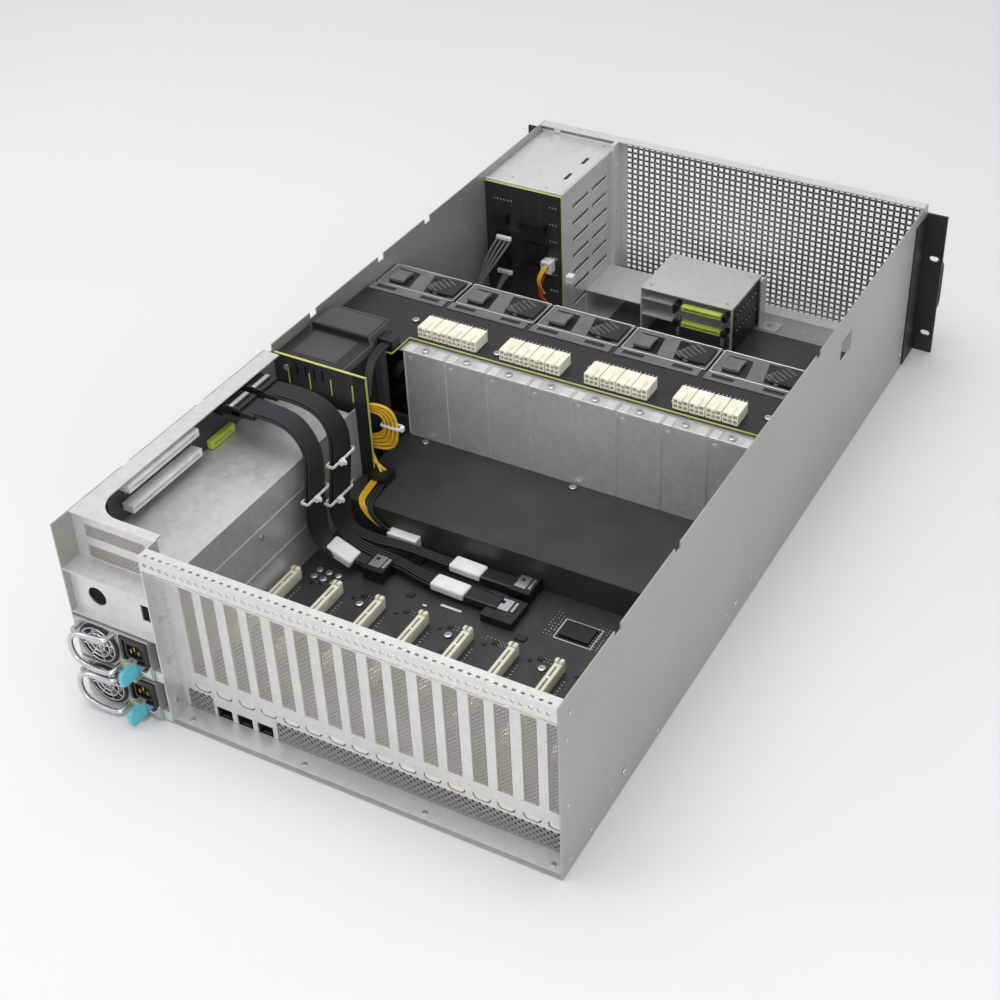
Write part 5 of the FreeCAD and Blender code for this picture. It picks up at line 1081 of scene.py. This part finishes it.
def supply_guard(body, middle):
    """Wire guard over the fan of a supply: three rings and four wires across them."""
    guard = [ring((SUPPLY_FAN_X, SUPPLY_REAR + 2.4, middle), size, 0.7) for size in (16.6, 11.6, 6.4)]
    for turn in range(4):
        spoke = block((-16.4, 16.4), (-0.5, 0.5), (-0.6, 0.6), 0.2)
        spoke.data.transform(Matrix.Rotation(turn * math.pi / 4 + 0.2, 4, "Y"))
        guard.append(moved(spoke, (SUPPLY_FAN_X, SUPPLY_REAR + 1.9, middle)))
    place_piece(guard, "guard_" + body, ZINC, body=body)


def supply_inlet(body, middle):
    """Shroud of the fan, and the mains inlet with its rim, socket and three blades."""
    shroud = ring((SUPPLY_FAN_X, SUPPLY_REAR + 1.2, middle), 18.2, 1.5)
    frame_rim = block((144.3, 171), (401.5, 404.4), (middle - 6, middle + 19.4), 1.2, 2)
    carve(frame_rim, [block((147.4, 167.6), (398, 408), (middle - 3.4, middle + 16.4), 1.0)])
    socket = block((147.9, 167.1), (396, 403.4), (middle - 2.9, middle + 15.9), 0.8)
    carve(socket, [block((150.4, 164.6), (399, 408), (middle + 0.2, middle + 12.8), 1.2)])
    place_piece([shroud, frame_rim, socket], "inlet_" + body, BLACK_NYLON, body=body)
    blades = [block(span(x, 0.7), (399.4, 402.8), (middle + z, middle + z + 4), 0.2)
              for x, z in ((153.6, 3), (157.5, 6.4), (161.4, 3))]
    place_piece(blades, "inlet_blades_" + body, BRASS, body=body)


def supply_rear(body, middle):
    """Rear of one supply: loop handle, fan guard, mains inlet, spring clip, end plate rim and lamp."""
    place_piece([bail(middle)], "handle_" + body, ZINC, body=body)
    supply_guard(body, middle)
    supply_inlet(body, middle)
    clip = blocks([((144.6, 149.8), (402, 402.9), (middle - 18, middle - 7)),
                   ((145, 149.4), (402.4, 408.2), (middle - 8.3, middle - 7.2)),
                   ((149, 157.6), (402, 403), (middle - 17.4, middle - 8))], 0.3)
    place_piece(clip, "clip_" + body, ZINC, body=body)
    rim = [block(SUPPLY_WIDE, (401.4, 402.5), (middle + z, middle + z + 1), 0.3) for z in (18.9, -19.9)]
    place_piece(rim, "rim_" + body, SUPPLY_STEEL, body=body)
    lens = disc((171.6, 402.6, middle - 12), 1.3, 1.2, "y", 10, 0.3)
    place_piece([lens], "status_lens_" + body, LIME_NYLON, body=body)


def release_tab(body, middle):
    """Cyan release tab with two round corners and eased sides."""
    tab = block((157.6, 161.4), (403.2, 421.4), (middle - 19, middle - 4))
    ease_where(tab, lambda a, b: min(a.y, b.y) > 421 * MM and abs(a.z - b.z) < HAIR, 4.5, 5)
    ease_where(tab, lambda a, b: min(a.y, b.y) > 404 * MM and abs(a.x - b.x) < HAIR
               and (a - b).length > 0.5 * MM, 0.6, 2)
    place_piece([shade(tab, 50)], "grip_" + body, CYAN_NYLON, body=body, replaced=[body])


for supply, supply_middle in SUPPLY_MIDDLES.items():
    supply_rear("psu_" + supply, supply_middle)
    release_tab("psu_tab_" + supply, supply_middle)


def low_profile_covers():
    """Perforated covers of the two low-profile card places, each between two strips."""
    pieces = []
    for low, high in ((131.9, 143.9), (152.7, 164.7)):
        pieces.append(perforated((148.6, 207.4), (low, high), 378.2, (2.9, 2.9), 1.75, 0.35, DIAGONAL))
        pieces += [block((146.5, 209), (377.2, 378.1), z, 0.3)
                   for z in ((low - 1.6, low), (high, high + 1.6))]
    place_piece(pieces, "low_profile_covers", COVER_STEEL)


SIDE_RIVETS = [(384, 157), (390, 136), (389, 69), (388, 12), (354, 8), (321, 18), (238, 7), (102, 20),
               (49, 23)]
LARGE_SIDE_RIVETS = [(299, 18), (83, 18), (-354, 18)]


def cage_side_details():
    """Creases and rivets of the supply cage, and rivets of the side walls, ledge and low-profile plate."""
    creases = [block((134.2, CAGE_SIDE), (128, 392), (z, z + 0.8), 0.2) for z in (101, 62)]
    place_piece(creases, "cage_creases", PANEL_STEEL)
    heads = at_places(rivet(2.6, "-x"), [(CAGE_SIDE, y, z)
                                         for y, z in ((392, 18.8), (392, 61), (392, 104.5), (262, 92))])
    dimples = at_places(rivet(1.1, "-x"), [(CAGE_SIDE, 383, 26 + 6.2 * level) for level in range(17)])
    place_piece(heads + dimples, "cage_rivets", ZINC)
    for name, axis, wall in (("side_wall_rivets", "-x", -220), ("supply_wall_rivets", "x", 220)):
        heads = at_places(rivet(1.9, axis), [(wall, y, z) for y, z in SIDE_RIVETS])
        heads += at_places(rivet(3.0, axis), [(wall, y, z) for y, z in LARGE_SIDE_RIVETS])
        place_piece(heads, name, ZINC)
    ledge = at_places(rivet(2.4), [(x, 391, 1.2) for x in (-208, -97, 13.3, 121.9)])
    top = at_places(rivet(1.7), [(x, 377, 173.7) for x in (150, 176, 204)])
    place_piece(ledge + top, "floor_ledge_rivets", ZINC)


low_profile_covers()
cage_side_details()


# Supply board and its dark cover

def supply_board():
    """Upright supply board beside the cage: its free side strip, pale cut edges, screw and slot marks."""
    place_piece([block((121.6, 135), (113, 115), (60.2, 167), 0.2)], "supply_board_side", BLACK_MASK)
    edges = blocks([((121.4, 218), (112.8, 115.2), (166.6, 167.3)),
                    ((121.1, 121.7), (112.8, 115.2), (60.2, 167.2))], 0.2)
    place_piece(edges, "supply_board_edges", BOARD_EDGE)
    slots = row(block((203, 204.4), (114.9, 115.6), (138, 155), 0.3), 4, (-22.6, 0, 0))
    place_piece(slots, "supply_board_slots", LIME_NYLON)
    screw = moved(pan_screw(3.4, "y"), (205, 115, 155))
    place_piece([screw], "supply_board_screw", ZINC)


def duct_cover():
    """Mid-grey folds, raised lid and bare label field of the dark cover in front of the supply board."""
    # The folds are coloured mid grey, paler than the black cover.
    folds = blocks([((148, 217), (61.2, 62), (152, 165.4)), ((147.4, 148.2), (62, 111), (158, 165.4)),
                    ((152, 213), (27.6, 28.3), (152, 170.3)),
                    ((151.6, 152.3), (28, 62), (156, 170.3))], 0.25)
    folds.append(block((213, 213.5), (28, 62), (165, 170.3), 0.2))
    place_piece(folds, "duct_cover_folds", DUCT_FOLD)
    lid = block((154, 211.5), (30.5, 60), (169.8, 170.5), 0.3)
    label_field = block((160, 206), (66, 104), (164.8, 165.3), 0.15)
    place_piece([lid, label_field], "duct_cover_lids", DUCT_LID_AND_FLOOR_SHADE)


supply_board()
duct_cover()


def riser_details():
    """Yellow-green plug and small parts on the riser board."""
    shell = block((208.6, 214.2), (190, 222), (132, 140), 0.6, 2)
    carve(shell, [block((204, 211), (193, 219), (134, 138))])
    place_piece([shell], "riser_side_plug", LIME_NYLON)
    parts = [block((213.4, 214.2), (240 + across * 7.5, 242.4 + across * 7.5),
                   (154 + up * 3.4, 155.2 + up * 3.4), 0.1) for across in range(12) for up in range(2)]
    place_piece(parts, "riser_small_parts", SOLDER)


riser_details()


# Drive cage

BAY_PITCH = 19.6
CAGE_FACE = 128
CAGE_TOP = 165
LOUVRES = ((-366, -332), (-322, -288))


def drive_cage_details():
    """Bright top plate with two openings darkened by black sheets of painted shade, pressed louvre lips
    with their bridges, and rivets.
    """
    plate = block((130.5, 216.5), (-388, -264), (CAGE_TOP, CAGE_TOP + 0.7), 0.3)
    carve(plate, [block((140.5, 144.5), y, (163, 168)) for y in ((-312, -296), (-352, -336))])
    rim = [block((CAGE_FACE, 218.6), (-264.8, -262), (164.2, 167), 0.5, 2),
           block((127.6, 129.4), (-394, -263), (164.2, 166.6), 0.5, 2),
           block((129, 218.6), (-395, -388), (CAGE_TOP, 168.4), 0.6, 2)]
    place_piece([plate] + rim, "drive_cage_top", PANEL_STEEL)
    # Painted shade: thin black sheets just under the two openings, standing for the shade inside the cage.
    dark = [block((140.7, 144.3), y, (164.9, 165.25), 0.1) for y in ((-311.5, -296.5), (-351.5, -336.5))]
    place_piece(dark, "drive_cage_opening_shade", BLACK_NYLON)
    lips, bridges = [], []
    for bay in range(1, 8):
        z = 4.2 + BAY_PITCH * bay
        bridges.append(block((CAGE_FACE, 129.2), (-331, -323), span(z, 2.6), 0.1))
        for y in LOUVRES:
            lips.append(block((126.9, 128.3), y, (z - 2.9, z - 1.1), 0.5, 2))
            lips.append(block((127.4, 128.3), (y[0] - 1, y[0] + 0.6), span(z, 2.4), 0.3))
    place_piece(bridges, "drive_cage_bridges", CAGE_STEEL)
    place_piece(lips, "drive_cage_lips", PANEL_STEEL)
    heads = at_places(rivet(1.8), [(x, y, 165.6)
                                   for x, y in ((193, -276), (150, -270), (205, -382), (140, -382))])
    heads += at_places(rivet(2.2, "-x"), [(124, -384, z) for z in (40, 92, 146)])
    place_piece(heads, "drive_cage_rivets", ZINC)


def drive_board_details():
    """Pale edges, small parts and white plugs on the board behind the drives."""
    edges = blocks([((127.6, 128.2), (-262.2, -260.2), (4, 164)),
                    ((CAGE_FACE, 218.4), (-262.2, -260.2), (163.8, 164.5))], 0.15)
    place_piece(edges, "drive_board_edges", BOARD_EDGE)
    marks = [block((133 + 3.6 * place, 135 + 3.6 * place), (-260.4, -259.5),
                   (30 + BAY_PITCH * level, 32.6 + BAY_PITCH * level), 0.15)
             for level in range(7) for place in range(3)]
    marks += [block((186 + 4 * place, 188.4 + 4 * place), (-260.4, -259.6), (145, 147), 0.15)
              for place in range(6)]
    place_piece(marks, "drive_board_parts", SOLDER)
    plugs = blocks([((136, 148), (-260.4, -249), (76, 90)), ((111, 119), (-259, -250), (70, 79))], 0.8, 2)
    plugs += blocks([((184, 202), (-254, -250), z) for z in ((103, 108), (62, 67))], 1.2, 2)
    carve(plugs[0], [block((138, 146), (-251, -246), (78.5, 87.5))])
    place_piece(plugs, "drive_wire_plugs", WHITE_NYLON)


def drive_cables():
    """Wires from the plugs behind the drives, and the dark cables along the floor beside them."""
    yellow = [cable([(139 + 2 * run, -251, 88 - run), (142 + 2 * run, -240, 80), (144 + run, -238, 66),
                     (140 + run, -243, 56)], 0.9) for run in range(3)]
    place_piece(yellow, "drive_wires_yellow", YELLOW_WIRE)
    red = [cable([(142, -250, 78 - run), (147 - run, -238, 64), (140 - 2 * run, -236, 50),
                  (124 - 3 * run, -240, 40), (112, -243, 34), (100 - 3 * run, -240, 30)], 0.9)
           for run in range(3)]
    place_piece(red, "drive_wires_red", RED_WIRE)
    grey = [cable([(200 - 5 * run, -252, 104), (204 - 5 * run, -240, 96 - run),
                   (211 - run, -226 + 2 * run, 60), (213 - run, -180 + 4 * run, 10),
                   (212 - 2 * run, -110, 6)], 1.5) for run in range(4)]
    grey += [cable([(188 + 3 * run, -252, 63), (196, -238, 48), (206 - run, -214, 16),
                    (207 - run, -120, 6)], 1.5) for run in range(3)]
    place_piece(grey, "drive_cables", GREY_BRAID)
    floor_run = [cable([(150 - 4 * run, -256, 12 + run), (120 - 3 * run, -236, 5),
                        (84 - 4 * run, -214 + 3 * run, 5), (40, -190 + 4 * run, 5),
                        (10, -130, 5 + 0.4 * run), (4 - 3 * run, -92, 5)], 1.6) for run in range(5)]
    place_piece(floor_run, "floor_cables", BRAID)


drive_cage_details()
drive_board_details()
drive_cables()


# Front bracket

BRACKET_BOARDS = (49.4, 30)


def bracket_ends():
    """Lime edge plugs with two mouths each, and black end blocks of the bracket's two boards."""
    plugs = []
    for z in BRACKET_BOARDS:
        shell = block((-45, 0), (-292.5, -285), (z, z + 5.4), 0.5, 2)
        carve(shell, [block(x, (-288.5, -280.5), (z + 1.6, z + 3.8)) for x in ((-42, -25), (-22, -3))])
        plugs.append(shell)
    place_piece(plugs, "bracket_edge_plugs", LIME_NYLON)
    frames = []
    for z in reversed(BRACKET_BOARDS):
        frames += [block((4, 9), (-296, -282), (z - 1, z + 6.5), 0.6, 2),
                   block((5, 8), (-283, -281), (z - 3, z + 9), 0.4),
                   block((-52, -47), (-296, -284), (z - 1, z + 6.5), 0.6, 2)]
    place_piece(frames, "bracket_frames", BLACK_NYLON)


def bracket_foot():
    """Side foot of the bracket with its screw, and the rivets of its top."""
    heads = at_places(rivet(1.7), [(x, y, 62) for y in (-300, -362) for x in (42, -46)])
    foot = blocks([((-80, -58), (-378, -362), (1.2, 2.6)),
                   ((-59.4, -57.8), (-378, -362), (1.2, 60))], 0.4, 2)
    place_piece(foot, "bracket_foot", CAGE_STEEL)
    place_piece(heads + [moved(pan_screw(3.4), (-69, -370, 2.6))], "bracket_screws", ZINC)


def bracket_surroundings():
    """Painted shade on the case's floor, a dark sheet where the bare steel floor lies in shadow, and the
    boards and posts at the bracket's side.
    """
    # Painted shade and dark reflection: a dark sheet on the floor where the bare steel floor only looks
    # dark in shadow.
    floor_shade_sheet = block((-214, 96), (-358, -92), (1.2, 2.0), 0.25)
    place_piece([floor_shade_sheet], "painted_floor_shade", DUCT_LID_AND_FLOOR_SHADE)
    side = [block((-56, -54.9), (-366, -296), (4, 59), 0.3)]
    side += [block((-57, -55.6), (-362, -298), z, 0.4) for z in ((27, 30), (46.6, 49.6))]
    place_piece(side, "bracket_side_boards", BLACK_NYLON)
    dots = [block((-57.6, -56), (-352 + 8 * place, -349.4 + 8 * place), (z, z + 1.6), 0.2)
            for place in range(7) for z in (30.4, 50)]
    place_piece(dots, "bracket_side_parts", SOLDER)
    posts = [shade(disc((x, -285, z), 2.2, 9, "z", 10, 0.5)) for x in (-48, 3) for z in (24.5, 43)]
    place_piece(posts, "bracket_posts", ZINC)


bracket_ends()
bracket_foot()
bracket_surroundings()


# Camera, floor and light


def camera():
    """The photograph's camera: a long lens behind, above and to the right of the server."""
    data = bpy.data.cameras.new("view")
    data.sensor_width = 36
    data.lens = 60.67
    data.shift_x, data.shift_y = -0.0975, -0.0581
    data.clip_end = 20
    seen = bpy.data.objects.new("view", data)
    seen.location = (-0.61125, 1.10564, 0.98054)
    seen.rotation_euler = [math.radians(turn) for turn in (54.022, 0.236, -153.098)]
    bpy.context.collection.objects.link(seen)
    bpy.context.scene.camera = seen


def floor():
    """Plain pale floor."""
    bpy.ops.mesh.primitive_plane_add(size=12, location=(0, 0, -0.0005))
    ground = bpy.context.active_object
    ground.name = "studio_floor"
    material, tree, shader, place = start("pale_floor", "#E4E4E4", 0.8)
    tint(tree, shader, noise(tree, place, 0.8), "#DEDEDE", "#E8E8E8")
    dress(ground, material)


def lamp(name, place, aim, size, power):
    """A soft rectangular lamp that points at a spot."""
    data = bpy.data.lights.new(name, "AREA")
    data.shape = "RECTANGLE"
    data.size, data.size_y = size
    data.energy = power
    made = bpy.data.objects.new(name, data)
    made.location = place
    made.rotation_euler = (Vector(aim) - Vector(place)).to_track_quat("-Z", "Y").to_euler()
    bpy.context.collection.objects.link(made)


def light():
    """Soft studio light: a top sheet, a sheet at the photograph's left, one behind it and an even world."""
    world = bpy.data.worlds.new("studio")
    bpy.context.scene.world = world
    world.use_nodes = True
    world.node_tree.nodes["Background"].inputs["Color"].default_value = linear("#E6E8EA")
    world.node_tree.nodes["Background"].inputs["Strength"].default_value = 0.8
    lamp("top_sheet", (0.2, 0.2, 2.2), (0, 0, 0.1), (2.0, 1.6), 26)
    lamp("left_sheet", (2.0, 1.4, 1.3), (0, 0.1, 0.1), (1.2, 1.2), 9)
    lamp("rear_sheet", (-1.2, 2.2, 1.0), (0, 0.3, 0.1), (1.4, 1.0), 14)


camera()
floor()
light()
bpy.context.scene.view_settings.view_transform = "Standard"
